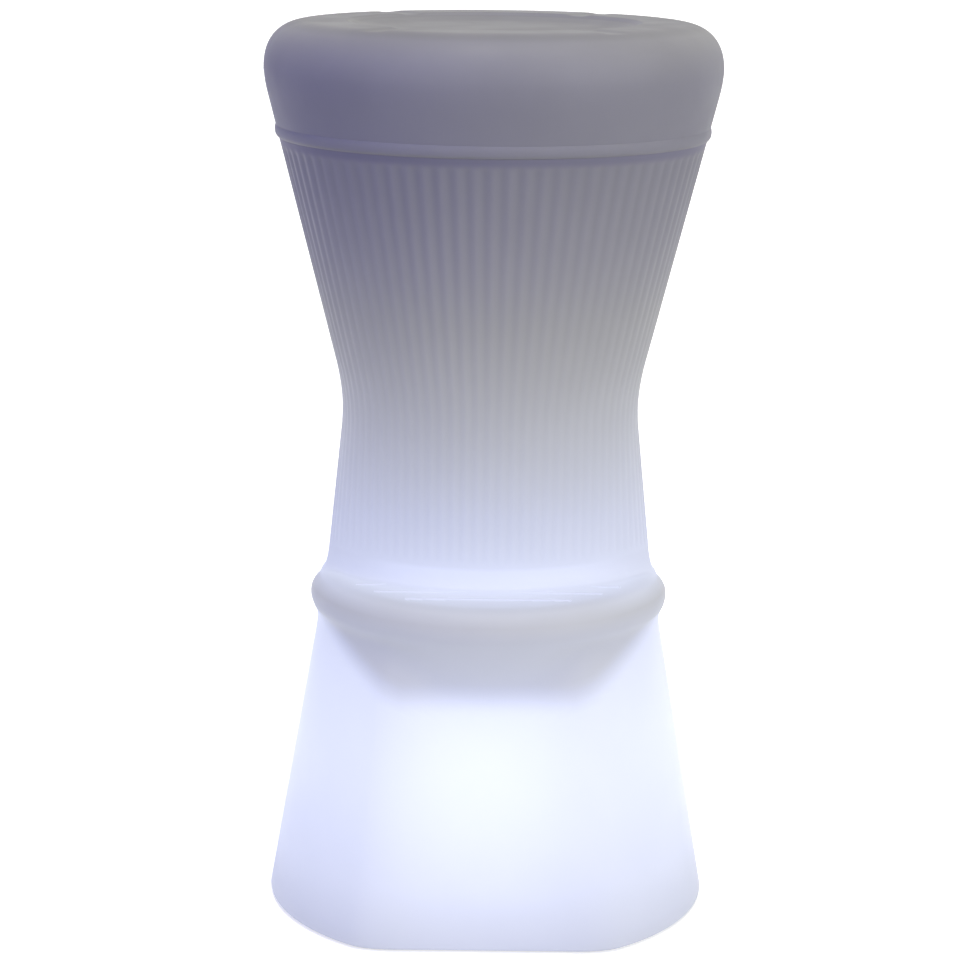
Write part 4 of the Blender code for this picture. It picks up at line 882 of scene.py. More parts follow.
@dataclass
class MouldedShell:
    """The shell as one closed moulding with a real wall."""

    form: ShellForm
    columns: int = 320
    skin_columns: int = 160
    bead_steps: int = 10
    ledge_steps: tuple[int, ...] = (10, 6, 4, 4, 4, 4, 5, 8)
    base_steps: int = 22

    def inner_rows(self) -> list[np.ndarray]:
        """Rows of the inner skin: the plain outside drawn in by the wall.

        Returns:
            The rows, from the dish to the recess.
        """
        form = self.form
        rows = form.skin_rows(self.skin_columns)
        points, faces = loft(rows, (0.0, 0.0, form.height - form.dish_depth), (0.0, 0.0, form.recess_top))
        mesh = bpy.data.meshes.new("inner_skin")
        mesh.from_pydata(points.tolist(), [], faces)
        work = bmesh.new()
        work.from_mesh(mesh)
        bmesh.ops.recalc_face_normals(work, faces=work.faces)
        work.normal_update()
        moved = np.array([corner.co - corner.normal * (form.wall * corner.calc_shell_factor())
                          for corner in work.verts])
        work.free()
        bpy.data.meshes.remove(mesh)
        ends = np.cumsum([len(row) for row in rows])
        return [moved[end - len(row):end] for row, end in zip(rows, ends)]

    def mesh(self) -> bpy.types.Mesh:
        """Loft the whole skin as one closed surface, then cut and add the small forms.

        Returns:
            The mesh.
        """
        form = self.form
        angle = round_angles(self.columns)
        rows = form.seat_rows(self.columns, fine=True) + form.bead_rows(angle, self.bead_steps)
        ribs = form.rib_rows(2 * self.columns)
        ribs_start = sum(len(row) for row in rows)
        ledge_start = ribs_start + sum(len(row) for row, _ in ribs)
        ledge = form.ledge_rows(angle, self.ledge_steps)
        ledge += form.base_rows(ledge[-1][0], angle, self.base_steps)
        rows += [row for row, _ in ribs + ledge]
        rows += form.underside_rows(rows[-1], self.columns)
        rows.append(polar(form.opening_radius, round_angles(self.skin_columns), form.recess_top + form.wall))
        rows += self.inner_rows()[::-1]
        dish = form.height - form.dish_depth
        points, faces = loft(rows, (0.0, 0.0, dish), (0.0, 0.0, dish - form.wall))
        valley, lost, painted_bead_shade = (np.zeros(len(points)) for _ in MARKS)
        # Painted shade: a darker band from the foot of the bead, fading down the ribs, where the bead's
        # shadow falls.
        painted_bead_shade[ribs_start - self.columns:ribs_start] = 1.0
        wave = form.rib_wave(2 * self.columns)
        first = ribs_start
        for row, strength in ribs:
            past = first + len(row)
            painted_bead_shade[first:past] = 1 - smooth_step(ribs[0][0][0, 2] - row[0, 2], 0.0, form.bead_shade_reach)
            valley[first:past] = strength * wave
            first = past
        ledge_lost = np.concatenate([values for _, values in ledge])
        lost[ledge_start:ledge_start + len(ledge_lost)] = ledge_lost
        shell = mesh_from("moulded_shell", points, faces, dict(zip(MARKS, (valley, lost, painted_bead_shade))))
        shell = united(shell, self.grooves(), "DIFFERENCE")
        shell = united(shell, self.raised_forms())
        return shade(united(shell, self.cut_forms(), "DIFFERENCE"))

    def pegs(self, work: bmesh.types.BMesh, circle: float, radius: float, low: float, high: float) -> None:
        """Add four round pegs at the corners of a square.

        Args:
            work: Mesh that they are added to.
            circle: Distance of the pegs from the middle.
            radius: Radius of a peg.
            low: Its lower end.
            high: Its upper end.
        """
        for x, y in square_places(circle, pi / 4):
            peg(work, (x, y, (low + high) / 2), radius, high - low)

    def cut_forms(self) -> bpy.types.Mesh:
        """Pockets of the feet and holes of the threaded inserts.

        Returns:
            The forms to cut out.
        """
        form = self.form
        work = bmesh.new()
        self.pegs(work, form.pocket_circle, form.pocket_radius, form.floor - form.wall,
                  form.floor + form.pocket_depth)
        self.pegs(work, form.insert_circle, form.insert_hole_radius, form.recess_top - form.wall,
                  form.recess_top + form.insert_hole_depth)
        return closed_forms(work, "shell_cuts", dict.fromkeys(MARKS, 0.0))

    def raised_forms(self) -> bpy.types.Mesh:
        """Straight anti-slip ridges of the tread, their feet sunk in its wall, and bosses of the inserts.

        Returns:
            The forms to unite.
        """
        form = self.form
        work = bmesh.new()
        boss_foot = form.recess_top + form.wall
        self.pegs(work, form.insert_circle, form.boss_radius, boss_foot - form.ridge_sunk,
                  boss_foot + form.boss_rise)
        low = form.tread_height - form.ridge_sunk
        high = form.tread_height + form.ridge_proud
        half = form.ridge_width / 2
        top = half * form.ridge_top_share
        for start, end, depth in form.ridge_bars():
            outline = ((-half, low, 0.0), (half, low, 0.0), (top, high, half - top), (-top, high, half - top))
            prism(work, [(start + inset, y - depth, z) for y, z, inset in outline],
                  [(end - inset, y - depth, z) for y, z, inset in outline])
        marks = {**dict.fromkeys(MARKS, 0.0), "ledge_shade": form.ridge_shade}
        return closed_forms(work, "shell_raised_forms", marks)

    def grooves(self) -> bpy.types.Mesh:
        """Shallow grooves that run behind the anti-slip ridges that cross the whole tread.

        Returns:
            The forms to cut out.
        """
        form = self.form
        work = bmesh.new()
        whole_bars = [bar for bar in form.ridge_bars() if bar[0] < 0.0 < bar[1]]
        for start, end, depth in whole_bars:
            near = form.ridge_width / 2 - depth
            outline = ((near, form.ridge_proud), (near + form.groove_width / 2, -form.groove_depth),
                       (near + form.groove_width, form.ridge_proud))
            prism(work, *([(x, y, form.tread_height + rise) for y, rise in outline]
                          for x in (start + form.groove_end_gap, end - form.groove_end_gap)))
        marks = {**dict.fromkeys(MARKS, 0.0), "ledge_shade": form.groove_shade}
        return closed_forms(work, "tread_grooves", marks)


@dataclass
class RubberFeet:
    """Pads that sit in the pockets under the foot ring."""

    circle: float = 0.16745
    radius: float = 0.010
    height: float = 0.0042
    edge: float = 0.0010
    groove_radii: tuple[float, ...] = (0.0032, 0.0064)
    groove_width: float = 0.0010
    groove_depth: float = 0.0005
    groove_edge: float = 0.0001
    steps: int = 64
    corner_steps: int = 5

    def build(self, shop: Workshop) -> None:
        """Put the four pads in the scene.

        Args:
            shop: Where finishes come from and pieces go.
        """
        corners = [(0.0, 0.0)]
        legs = []
        for radius in self.groove_radii:
            slope = self.groove_depth / 2
            far = radius + self.groove_width
            corners += [(radius - slope, 0.0), (radius, self.groove_depth), (far, self.groove_depth),
                        (far + slope, 0.0)]
            legs += [self.groove_edge] * 4
        corners += [(self.radius, 0.0), (self.radius, self.height), (0.0, self.height)]
        profile = rounded_profile(corners, [*legs, self.edge, self.edge / 3], self.corner_steps)
        for number, place in enumerate(square_places(self.circle, pi / 4), 1):
            node = f"rubber_foot_{number}"
            pad = turned("foot_pad", profile, self.steps, place)
            shop.add(f"foot_pad_{number}", pad, node_slot(node), Body.ROOT, node)


@dataclass
class LampUnit:
    """Flanged cup under the shell with its screws, push button, charge light, inlet and door."""

    cup_radius: float = 0.058
    cup_inner: float = 0.054
    lip_radius: float = 0.0555
    flange_radius: float = 0.078
    flange_low: float = 0.0243
    flange_high: float = 0.0278
    cup_top: float = 0.0578
    lip_top: float = 0.0638
    cup_legs: tuple[float, ...] = (0.0010, 0.0003, 0.0005, 0.0003, 0.0006, 0.0008, 0.0005, 0.0012)
    cut_length: float = 0.0105
    post_foot: float = 0.02605
    plate_circle: float = 0.0455
    plate_post: float = 0.0035
    plate_level: float = 0.0565
    board_place: tuple[float, float] = (-0.006, -0.026)
    board_spacing: tuple[float, float] = (0.0178, 0.0088)
    board_post: float = 0.003
    board_level: float = 0.0378
    post_hole: float = 0.0014
    post_hole_depth: float = 0.0063
    screw_circle: float = 0.070
    screw_hole: float = 0.0022
    head_radius: float = 0.0038
    head_seat: float = 0.0240
    head_face: float = 0.0216
    head_dome: float = 0.0016
    shank_radius: float = 0.0016
    shank_tip: float = 0.0398
    thread_pitch: float = 0.0008
    thread_depth: float = 0.00025
    cross_width: float = 0.0008
    cross_reach: float = 0.0040
    cross_depth: float = 0.0012
    thread_end: float = 0.0008
    thread_run_out: float = 0.003
    head_edge: float = 0.0002
    screw_turn: float = radians(27)
    button_place: tuple[float, float] = (-0.012, -0.026)
    button_hole: float = 0.0068
    button_radius: float = 0.0065
    button_face: float = 0.0235
    button_dish: float = 0.0006
    button_dish_shares: tuple[float, ...] = (0.0, 0.2, 0.4, 0.6, 0.8)
    button_flat_share: float = 0.9
    button_legs: tuple[float, ...] = (0.0005, 0.0, 0.0003, 0.0003, 0.0, 0.0003)
    collar_radius: float = 0.0080
    collar_span: tuple[float, float] = (0.0281, 0.0295)
    stem_radius: float = 0.003
    light_place: tuple[float, float] = (0.006, -0.026)
    light_hole: float = 0.0019
    light_radius: float = 0.0016
    light_collar: float = 0.0029
    light_levels: tuple[float, float, float, float] = (0.0246, 0.0281, 0.0293, 0.0358)
    light_legs: tuple[float, ...] = (0.0007, 0.0, 0.0002, 0.0002, 0.0, 0.0003)
    inlet_place: tuple[float, float] = (0.030, -0.022)
    inlet_hole: float = 0.0048
    inlet_radius: float = 0.0045
    inlet_flange: float = 0.0062
    inlet_mouth: float = 0.0029
    pin_hole: float = 0.00135
    inlet_levels: tuple[float, float, float, float, float] = (0.0230, 0.0240, 0.0330, 0.0358, 0.0403)
    inlet_legs: tuple[float, ...] = (0.0, 0.0, 0.0, 0.0005, 0.0004, 0.0001, 0.0, 0.0004)
    hinge_place: tuple[float, float] = (0.0405, 0.0207)
    hinge_bore: float = 0.00145
    ear_radius: float = 0.0028
    ear_span: tuple[float, float] = (0.00555, 0.00755)
    knuckle_radius: float = 0.0023
    knuckle_length: float = 0.0105
    door_span: tuple[float, float] = (0.0230, 0.0371)
    door_width: float = 0.018
    door_levels: tuple[float, float] = (0.0205, 0.0225)
    door_corner: float = 0.0022
    door_edge: float = 0.0005
    door_edge_share: float = 0.3
    steps: int = 128
    button_steps: int = 72
    inlet_steps: int = 64
    small_steps: int = 48
    knuckle_steps: int = 32
    hole_steps: int = 24
    ear_steps: int = 16
    door_corner_steps: int = 9
    head_corner_steps: int = 9
    light_corner_steps: int = 6
    corner_steps: int = 5

    def build(self, shop: Workshop) -> None:
        """Put the unit's pieces in the scene.

        Args:
            shop: Where finishes come from and pieces go.
        """
        shop.add("lamp_base_moulding", self.base(), node_slot("lamp_base"), Body.ROOT, "lamp_base")
        screw = self.screw()
        for number, (x, y) in enumerate(square_places(self.screw_circle, pi / 4), 1):
            node = f"lamp_screw_{number}"
            placed = screw.copy()
            turn = Matrix.Rotation(self.screw_turn * number, 4, "Z")
            placed.transform(Matrix.Translation((x, y, 0.0)) @ turn)
            shop.add(f"pan_head_screw_{number}", placed, node_slot(node), Body.ROOT, node)
        shop.add("button_cap", self.button(), node_slot("power_button"), Body.BUTTON, "power_button")
        shop.add("charge_light_pipe", self.light_pipe(), node_slot("charge_indicator"), Body.ROOT,
                 "charge_indicator")
        shop.add("inlet_barrel", self.inlet(), node_slot("dc_socket"), Body.ROOT, "dc_socket")
        shop.add("inlet_door", self.door(), node_slot("port_cover"), Body.COVER, "port_cover")

    def base(self) -> bpy.types.Mesh:
        """Flange and cup in one turned moulding, with its posts, hinge ears and holes.

        Returns:
            The mesh.
        """
        corners = [(0.0, self.flange_high), (self.cup_inner, self.flange_high),
                   (self.cup_inner, self.lip_top), (self.lip_radius, self.lip_top),
                   (self.lip_radius, self.cup_top),
                   (self.cup_radius, self.cup_top), (self.cup_radius, self.flange_high),
                   (self.flange_radius, self.flange_high), (self.flange_radius, self.flange_low),
                   (0.0, self.flange_low)]
        cup = turned("lamp_base", rounded_profile(corners, self.cup_legs, self.corner_steps), self.steps)
        cup = united(cup, self.posts_and_ears())
        return shade(united(cup, self.holes(), "DIFFERENCE"))

    def board_places(self) -> list[tuple[float, float]]:
        """X and Y of the four posts of the control board."""
        (x, y), (across, ahead) = self.board_place, self.board_spacing
        return [(x + side * across, y + end * ahead) for side in (-1, 1) for end in (-1, 1)]

    def posts(self) -> tuple[tuple[list[tuple[float, float]], float, float], ...]:
        """Places, radius and top of the posts of the light plate and of the control board."""
        return ((square_places(self.plate_circle, 0.0), self.plate_post, self.plate_level),
                (self.board_places(), self.board_post, self.board_level))

    def posts_and_ears(self) -> bpy.types.Mesh:
        """Posts of the light plate and the board, and the two ears of the door's hinge.

        Returns:
            The forms to unite.
        """
        work = bmesh.new()
        for places, radius, top in self.posts():
            middle, length = (self.post_foot + top) / 2, top - self.post_foot
            for x, y in places:
                peg(work, (x, y, middle), radius, length, steps=self.small_steps)
        hinge_x, hinge_z = self.hinge_place
        radius = self.ear_radius
        turns = np.linspace(pi, 2 * pi, self.ear_steps + 1)
        outline = [(hinge_x + radius * cos(turn), hinge_z + radius * sin(turn)) for turn in turns]
        outline += [(hinge_x + radius, self.post_foot), (hinge_x - radius, self.post_foot)]
        for side in (-1, 1):
            prism(work, *([(x, self.inlet_place[1] + side * reach, z) for x, z in outline]
                          for reach in self.ear_span))
        return closed_forms(work, "posts_and_ears")

    def holes(self) -> bpy.types.Mesh:
        """Holes of the button, charge light, inlet, flange screws, posts and hinge pin.

        Returns:
            The forms to cut out.
        """
        work = bmesh.new()
        middle = (self.flange_low + self.flange_high) / 2
        bores = [(self.button_place, self.button_hole), (self.light_place, self.light_hole),
                 (self.inlet_place, self.inlet_hole)]
        bores += [(place, self.screw_hole) for place in square_places(self.screw_circle, pi / 4)]
        for (x, y), radius in bores:
            peg(work, (x, y, middle), radius, self.cut_length, steps=self.small_steps)
        for places, _, top in self.posts():
            for x, y in places:
                peg(work, (x, y, top), self.post_hole, 2 * self.post_hole_depth, steps=self.hole_steps)
        hinge_x, hinge_z = self.hinge_place
        peg(work, (hinge_x, self.inlet_place[1], hinge_z), self.hinge_bore, self.door_width,
            Matrix.Rotation(pi / 2, 4, "X"), self.hole_steps)
        return closed_forms(work, "lamp_base_holes")

    def screw(self) -> bpy.types.Mesh:
        """Pan head screw with a cross recess, its axis on the middle of the stool.

        Returns:
            The mesh.
        """
        turns = int((self.shank_tip - self.head_seat - self.thread_run_out) / self.thread_pitch)
        first = self.shank_tip - self.thread_end
        thread = [(self.shank_radius - self.thread_depth * (step % 2), first - self.thread_pitch * step / 2)
                  for step in range(2 * turns)]
        head = rounded_profile([(self.shank_radius, self.head_seat), (self.head_radius, self.head_seat),
                                (self.head_radius, self.head_face), (0.0, self.head_face)],
                               (self.head_edge, self.head_dome), self.head_corner_steps)
        profile = [(0.0, self.shank_tip), (self.shank_radius / 2, self.shank_tip), *thread, *head]
        screw = turned("pan_head_screw", profile, self.small_steps)
        size = (self.cross_reach, self.cross_width, 2 * self.cross_depth)
        for quarter in (0, 1):
            work = bmesh.new()
            block(work, (0.0, 0.0, self.head_face), size, Matrix.Rotation(quarter * pi / 2, 4, "Z"))
            screw = united(screw, closed_forms(work, "cross_recess"), "DIFFERENCE")
        return shade(screw)

    def button(self) -> bpy.types.Mesh:
        """Push button with a dished face, a collar that holds it in and its stem.

        Returns:
            The mesh.
        """
        low, high = self.collar_span
        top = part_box("power_button")[1].z
        face = self.button_face
        dish = [(self.button_radius * share, face + self.button_dish * (1 - share ** 2))
                for share in self.button_dish_shares]
        corners = [(self.button_radius * self.button_flat_share, face), (self.button_radius, face),
                   (self.button_radius, low), (self.collar_radius, low), (self.collar_radius, high),
                   (self.stem_radius, high), (self.stem_radius, top), (0.0, top)]
        profile = dish + rounded_profile(corners, self.button_legs, self.corner_steps)
        return turned("button_cap", profile, self.button_steps, self.button_place)

    def light_pipe(self) -> bpy.types.Mesh:
        """Clear light pipe of the charge light with its collar.

        Returns:
            The mesh.
        """
        tip, low, high, top = self.light_levels
        corners = [(0.0, tip), (self.light_radius, tip), (self.light_radius, low), (self.light_collar, low),
                   (self.light_collar, high), (self.light_radius, high), (self.light_radius, top), (0.0, top)]
        profile = rounded_profile(corners, self.light_legs, self.light_corner_steps)
        return turned("charge_light_pipe", profile, self.small_steps, self.light_place)

    def inlet(self) -> bpy.types.Mesh:
        """Barrel of the inlet with its flange, mouth and the seat of its pin.

        Returns:
            The mesh.
        """
        mouth, flange, deep, pin_end, top = self.inlet_levels
        corners = [(0.0, pin_end), (self.pin_hole, pin_end), (self.pin_hole, deep), (self.inlet_mouth, deep),
                   (self.inlet_mouth, mouth), (self.inlet_flange, mouth), (self.inlet_flange, flange),
                   (self.inlet_radius, flange), (self.inlet_radius, top), (0.0, top)]
        profile = rounded_profile(corners, self.inlet_legs, self.corner_steps)
        return turned("inlet_barrel", profile, self.inlet_steps, self.inlet_place)

    def door_plate(self) -> bpy.types.Mesh:
        """Plate of the door over the inlet, with round corners and edges.

        Returns:
            The mesh.
        """
        far, near = self.door_span
        low, high = self.door_levels
        middle = ((far + near) / 2, self.inlet_place[1])
        across, ahead = (near - far) / 2 - self.door_corner, self.door_width / 2 - self.door_corner
        edge, part = self.door_edge, self.door_edge * self.door_edge_share
        rows = []
        for level, inset in ((low, edge), (low + part, part), (low + edge, 0.0), (high - edge, 0.0),
                             (high - part, part), (high, edge)):
            reach = self.door_corner - inset
            row = []
            for quarter, (right, front) in enumerate(((1, 1), (-1, 1), (-1, -1), (1, -1))):
                x, y = middle[0] + right * across, middle[1] + front * ahead
                turns = np.linspace(quarter * pi / 2, (quarter + 1) * pi / 2, self.door_corner_steps)
                row += [(x + reach * cos(turn), y + reach * sin(turn), level) for turn in turns]
            rows.append(np.array(row))
        return mesh_from("inlet_door", *loft(rows, (*middle, low), (*middle, high)))

    def door(self) -> bpy.types.Mesh:
        """Door over the inlet: its plate, its tongue and its hinge knuckle.

        Returns:
            The mesh.
        """
        near = self.door_span[1]
        low, high = self.door_levels
        hinge_x, hinge_z = self.hinge_place
        y = self.inlet_place[1]
        thickness = high - low
        work = bmesh.new()
        block(work, ((near + hinge_x) / 2 - thickness / 2, y, (low + high) / 2),
              (hinge_x - near + thickness, self.knuckle_length, thickness / 2))
        door = united(self.door_plate(), closed_forms(work, "door_tongue"))
        for radius, length, operation in ((self.knuckle_radius, self.knuckle_length, "UNION"),
                                          (self.hinge_bore, self.door_width, "DIFFERENCE")):
            work = bmesh.new()
            peg(work, (hinge_x, y, hinge_z), radius, length, Matrix.Rotation(pi / 2, 4, "X"),
                self.knuckle_steps)
            door = united(door, closed_forms(work, "door_hinge"), operation)
        return shade(door)


# Node groups and finishes


class Tree:
    """Makes and joins the nodes of a material or a node group."""

    def __init__(self, tree: bpy.types.NodeTree) -> None:
        """Keep the tree."""
        self.tree = tree

    def give(self, socket: bpy.types.NodeSocket, value: object) -> None:
        """Give an input what it takes.

        Args:
            socket: The input.
            value: The output that it is joined to, or its plain value.
        """
        if isinstance(value, bpy.types.NodeSocket):
            self.tree.links.new(value, socket)
        else:
            socket.default_value = value

    def node(self, kind: str, values: dict[str | int, object] | None = None,
             **settings: object) -> bpy.types.Node:
        """Add a node.

        Args:
            kind: Blender's name of the node's type.
            values: What each input takes, a socket or a plain value.
            settings: Properties of the node.

        Returns:
            The new node.
        """
        made = self.tree.nodes.new(kind)
        for name, value in settings.items():
            setattr(made, name, value)
        for key, value in (values or {}).items():
            self.give(made.inputs[key], value)
        return made

    def math(self, operation: str, *values: object) -> bpy.types.NodeSocket:
        """Put values or sockets through one arithmetic step and return its socket."""
        return self.node("ShaderNodeMath", dict(enumerate(values)), operation=operation).outputs[0]

    def ramp(self, value: object, low: object, high: object, to_low: float = 0.0, to_high: float = 1.0,
             smooth: bool = True) -> bpy.types.NodeSocket:
        """Map a value from one range to another.

        Args:
            value: The value.
            low: Start of its range.
            high: End of its range.
            to_low: What the start becomes.
            to_high: What the end becomes.
            smooth: Whether the map eases in and out.

        Returns:
            The mapped value.
        """
        ranges = {"Value": value, "From Min": low, "From Max": high, "To Min": to_low, "To Max": to_high}
        kind = "SMOOTHSTEP" if smooth else "LINEAR"
        return self.node("ShaderNodeMapRange", ranges, interpolation_type=kind).outputs["Result"]

    def mix(self, share: object, first: object, second: object) -> bpy.types.NodeSocket:
        """Mix two colours.

        Args:
            share: How much of the second colour there is.
            first: The first colour, or its socket.
            second: The second colour, or its socket.

        Returns:
            The mixed colour.
        """
        made = self.node("ShaderNodeMix", data_type="RGBA")
        for key, value in ((MIX_SHARE, share), (MIX_FIRST, first), (MIX_SECOND, second)):
            self.give(made.inputs[key], (*value, 1.0) if isinstance(value, tuple) else value)
        return made.outputs[MIX_RESULT]

    def noise(self, place: object, scale: object, detail: float = 2.0) -> bpy.types.NodeSocket:
        """Noise over a place."""
        values = {"Vector": place, "Scale": scale, "Detail": detail}
        return self.node("ShaderNodeTexNoise", values).outputs["Fac"]

    def object_place(self) -> bpy.types.NodeSocket:
        """Place on the piece, in its own frame."""
        return self.node("ShaderNodeTexCoord").outputs["Object"]

    def upward(self) -> bpy.types.NodeSocket:
        """How far the surface faces up, from -1 to 1."""
        normal = self.node("ShaderNodeNewGeometry").outputs["Normal"]
        return self.node("ShaderNodeSeparateXYZ", {0: normal}).outputs[2]

    def mark(self, name: str) -> bpy.types.NodeSocket:
        """Named value that the mesh carries."""
        return self.node("ShaderNodeAttribute", attribute_name=name).outputs["Fac"]


@dataclass(frozen=True)
class LampGlow:
    """How the light that comes through the wall spreads, and what tints it."""

    level: float = 0.715
    lamp_height: float = 0.13
    near: float = 0.15
    fade_start: float = 0.24
    fade_end: float = 0.60
    fall_power: float = 1.05
    foot_height: float = 0.06
    foot_share: float = 0.86
    downward: tuple[float, float] = (-0.95, -0.60)
    downward_share: float = 0.5
    warm_strength: tuple[float, float] = (0.03, 0.12)
    warm: Colour = (0.985, 1.0, 0.86)
    cool_strength: tuple[float, float] = (0.12, 0.42)
    cool: Colour = (0.92, 1.0, 1.25)

    def inputs(self) -> dict[str, float]:
        """Usual values of the group's inputs."""
        return {"Level": self.level, "Lamp Height": self.lamp_height, "Near": self.near,
                "Fade Start": self.fade_start, "Fade End": self.fade_end, "Shade": 0.0}


@dataclass
class Groups:
    """Shader node groups that several finishes share, each built once."""

    mottle_detail: float = 4.0
    mottle_range: tuple[float, float] = (0.32, 0.68)
    coarse_scale_share: float = 0.23
    coarse_share: float = 0.4
    line_stretch: Place = (1.0, 0.05, 1.0)
    line_detail: float = 3.0
    line_cloud_scale: float = 60.0
    line_range: tuple[float, float] = (0.35, 0.65)
    weave_range: tuple[float, float] = (0.2, 0.9)
    lane_randomness: float = 0.6
    lane_pitch: float = 0.25
    track_range: tuple[float, float] = (0.08, 0.13)
    glow: LampGlow = LampGlow()
    built: dict[str, bpy.types.NodeTree] = field(default_factory=dict)

    def get(self, name: str) -> bpy.types.NodeTree:
        """Return a group, building it on its first use.

        Args:
            name: Name of the group.

        Returns:
            The group.
        """
        if name not in self.built:
            self.built[name] = getattr(self, "build_" + name)()
        return self.built[name]

    def start(self, name: str, inputs: dict[str, float],
              outputs: dict[str, str] | None = None) -> tuple[Tree, bpy.types.Node]:
        """Open a group with its sockets.

        Args:
            name: Name of the group.
            inputs: Number inputs with their usual values.
            outputs: Outputs with their socket types; a mottle and a height where none are given.

        Returns:
            The tree to add nodes to, and its input node.
        """
        group = bpy.data.node_groups.new(name, "ShaderNodeTree")
        for label, usual in inputs.items():
            socket = group.interface.new_socket(label, in_out="INPUT", socket_type="NodeSocketFloat")
            socket.default_value = usual
        for label, kind in (outputs or dict.fromkeys(("Mottle", "Height"), "NodeSocketFloat")).items():
            group.interface.new_socket(label, in_out="OUTPUT", socket_type=kind)
        tree = Tree(group)
        return tree, tree.node("NodeGroupInput")

    def build_surface_grain(self) -> bpy.types.NodeTree:
        """Moulded grain: soft mottling and a fine, uneven height.

        Returns:
            The group.
        """
        tree, given = self.start("surface_grain", {"Mottle Scale": 20.0, "Grain Scale": 900.0})
        place = tree.object_place()
        grain_scale = given.outputs["Grain Scale"]
        broad = tree.noise(place, given.outputs["Mottle Scale"], self.mottle_detail)
        fine = tree.noise(place, grain_scale)
        coarse = tree.noise(place, tree.math("MULTIPLY", grain_scale, self.coarse_scale_share), 1.0)
        height = tree.math("ADD", tree.math("MULTIPLY", fine, 1.0 - self.coarse_share),
                           tree.math("MULTIPLY", coarse, self.coarse_share))
        tree.node("NodeGroupOutput", {"Mottle": tree.ramp(broad, *self.mottle_range), "Height": height})
        return tree.tree

    def build_drawn_lines(self) -> bpy.types.NodeTree:
        """Fine lines that brushing or drawing leaves in metal.

        Returns:
            The group.
        """
        tree, given = self.start("drawn_lines", {"Line Scale": 400.0})
        place = tree.object_place()
        stretched = tree.node("ShaderNodeMapping", {"Vector": place, "Scale": self.line_stretch}).outputs[0]
        lines = tree.noise(stretched, given.outputs["Line Scale"], self.line_detail)
        cloud = tree.noise(place, self.line_cloud_scale, self.line_detail)
        average = tree.math("MULTIPLY", tree.math("ADD", lines, cloud), 0.5)
        tree.node("NodeGroupOutput", {"Mottle": tree.ramp(average, *self.line_range), "Height": lines})
        return tree.tree

    def build_woven_webbing(self) -> bpy.types.NodeTree:
        """Over and under of a plain weave.

        Returns:
            The group.
        """
        tree, given = self.start("woven_webbing", {"Yarn Pitch": 0.0012})
        place = tree.node("ShaderNodeSeparateXYZ", {0: tree.object_place()}).outputs
        turns = [tree.math("DIVIDE", place[axis], given.outputs["Yarn Pitch"]) for axis in (0, 1, 2)]
        warp = tree.math("SINE", tree.math("MULTIPLY", turns[0], 2 * pi))
        weft = tree.math("SINE", tree.math("MULTIPLY", tree.math("ADD", turns[1], turns[2]), 2 * pi))
        height = tree.math("MULTIPLY_ADD", tree.math("MULTIPLY", warp, weft), 0.5, 0.5)
        tree.node("NodeGroupOutput", {"Mottle": tree.ramp(height, *self.weave_range), "Height": height})
        return tree.tree

    def build_board_tracks(self) -> bpy.types.NodeTree:
        """Copper tracks that show as lighter lanes under a solder mask.

        Returns:
            The group.
        """
        tree, given = self.start("board_tracks", {"Track Scale": 260.0})
        values = {"Vector": tree.object_place(), "Scale": given.outputs["Track Scale"],
                  "Randomness": self.lane_randomness}
        lanes = tree.node("ShaderNodeTexVoronoi", values, distance="MANHATTAN", feature="F1")
        lane = tree.math("PINGPONG", lanes.outputs["Distance"], self.lane_pitch)
        track = tree.ramp(lane, *self.track_range)
        tree.node("NodeGroupOutput", {"Mottle": track, "Height": track})
        return tree.tree

    def build_lamp_glow(self) -> bpy.types.NodeTree:
        """Light through the wall: bright round the lamp, fading with distance, cooler where strong.

        Returns:
            The group.
        """
        glow = self.glow
        tree, given = self.start("lamp_glow", glow.inputs(),
                                 {"Glow": "NodeSocketColor", "Strength": "NodeSocketFloat"})
        inputs = given.outputs
        place = tree.object_place()
        middle = tree.node("ShaderNodeCombineXYZ", {2: inputs["Lamp Height"]}).outputs[0]
        away = tree.node("ShaderNodeVectorMath", {0: place, 1: middle}, operation="DISTANCE").outputs["Value"]
        nearness = tree.math("POWER", tree.math("DIVIDE", inputs["Near"], away), glow.fall_power)
        height = tree.node("ShaderNodeSeparateXYZ", {0: place}).outputs[2]
        strength = nearness
        for factor in (tree.ramp(away, inputs["Fade Start"], inputs["Fade End"], 1.0, 0.0),
                       inputs["Level"],
                       tree.ramp(height, 0.0, glow.foot_height, glow.foot_share, 1.0),
                       tree.math("SUBTRACT", 1.0, inputs["Shade"]),
                       tree.ramp(tree.upward(), *glow.downward, glow.downward_share, 1.0)):
            strength = tree.math("MULTIPLY", strength, factor)
        warm = tree.mix(tree.ramp(strength, *glow.warm_strength), WHITE, glow.warm)
        tint = tree.mix(tree.ramp(strength, *glow.cool_strength, smooth=False), warm, glow.cool)
        colour = tree.node("ShaderNodeVectorMath", {0: tint, 3: strength}, operation="SCALE").outputs[0]
        tree.node("NodeGroupOutput", {"Glow": colour, "Strength": strength})
        return tree.tree


GROUPS = Groups()


def new_material(name: str, colour: Colour) -> tuple[bpy.types.Material, Tree, bpy.types.Node]:
    """Start a material.

    Args:
        name: Its name.
        colour: Its colour in plain views.

    Returns:
        The material, its tree and its shader.
    """
    material = bpy.data.materials.new(name)
    material.use_nodes = True
    material.diffuse_color = (*colour, 1.0)
    return material, Tree(material.node_tree), material.node_tree.nodes["Principled BSDF"]


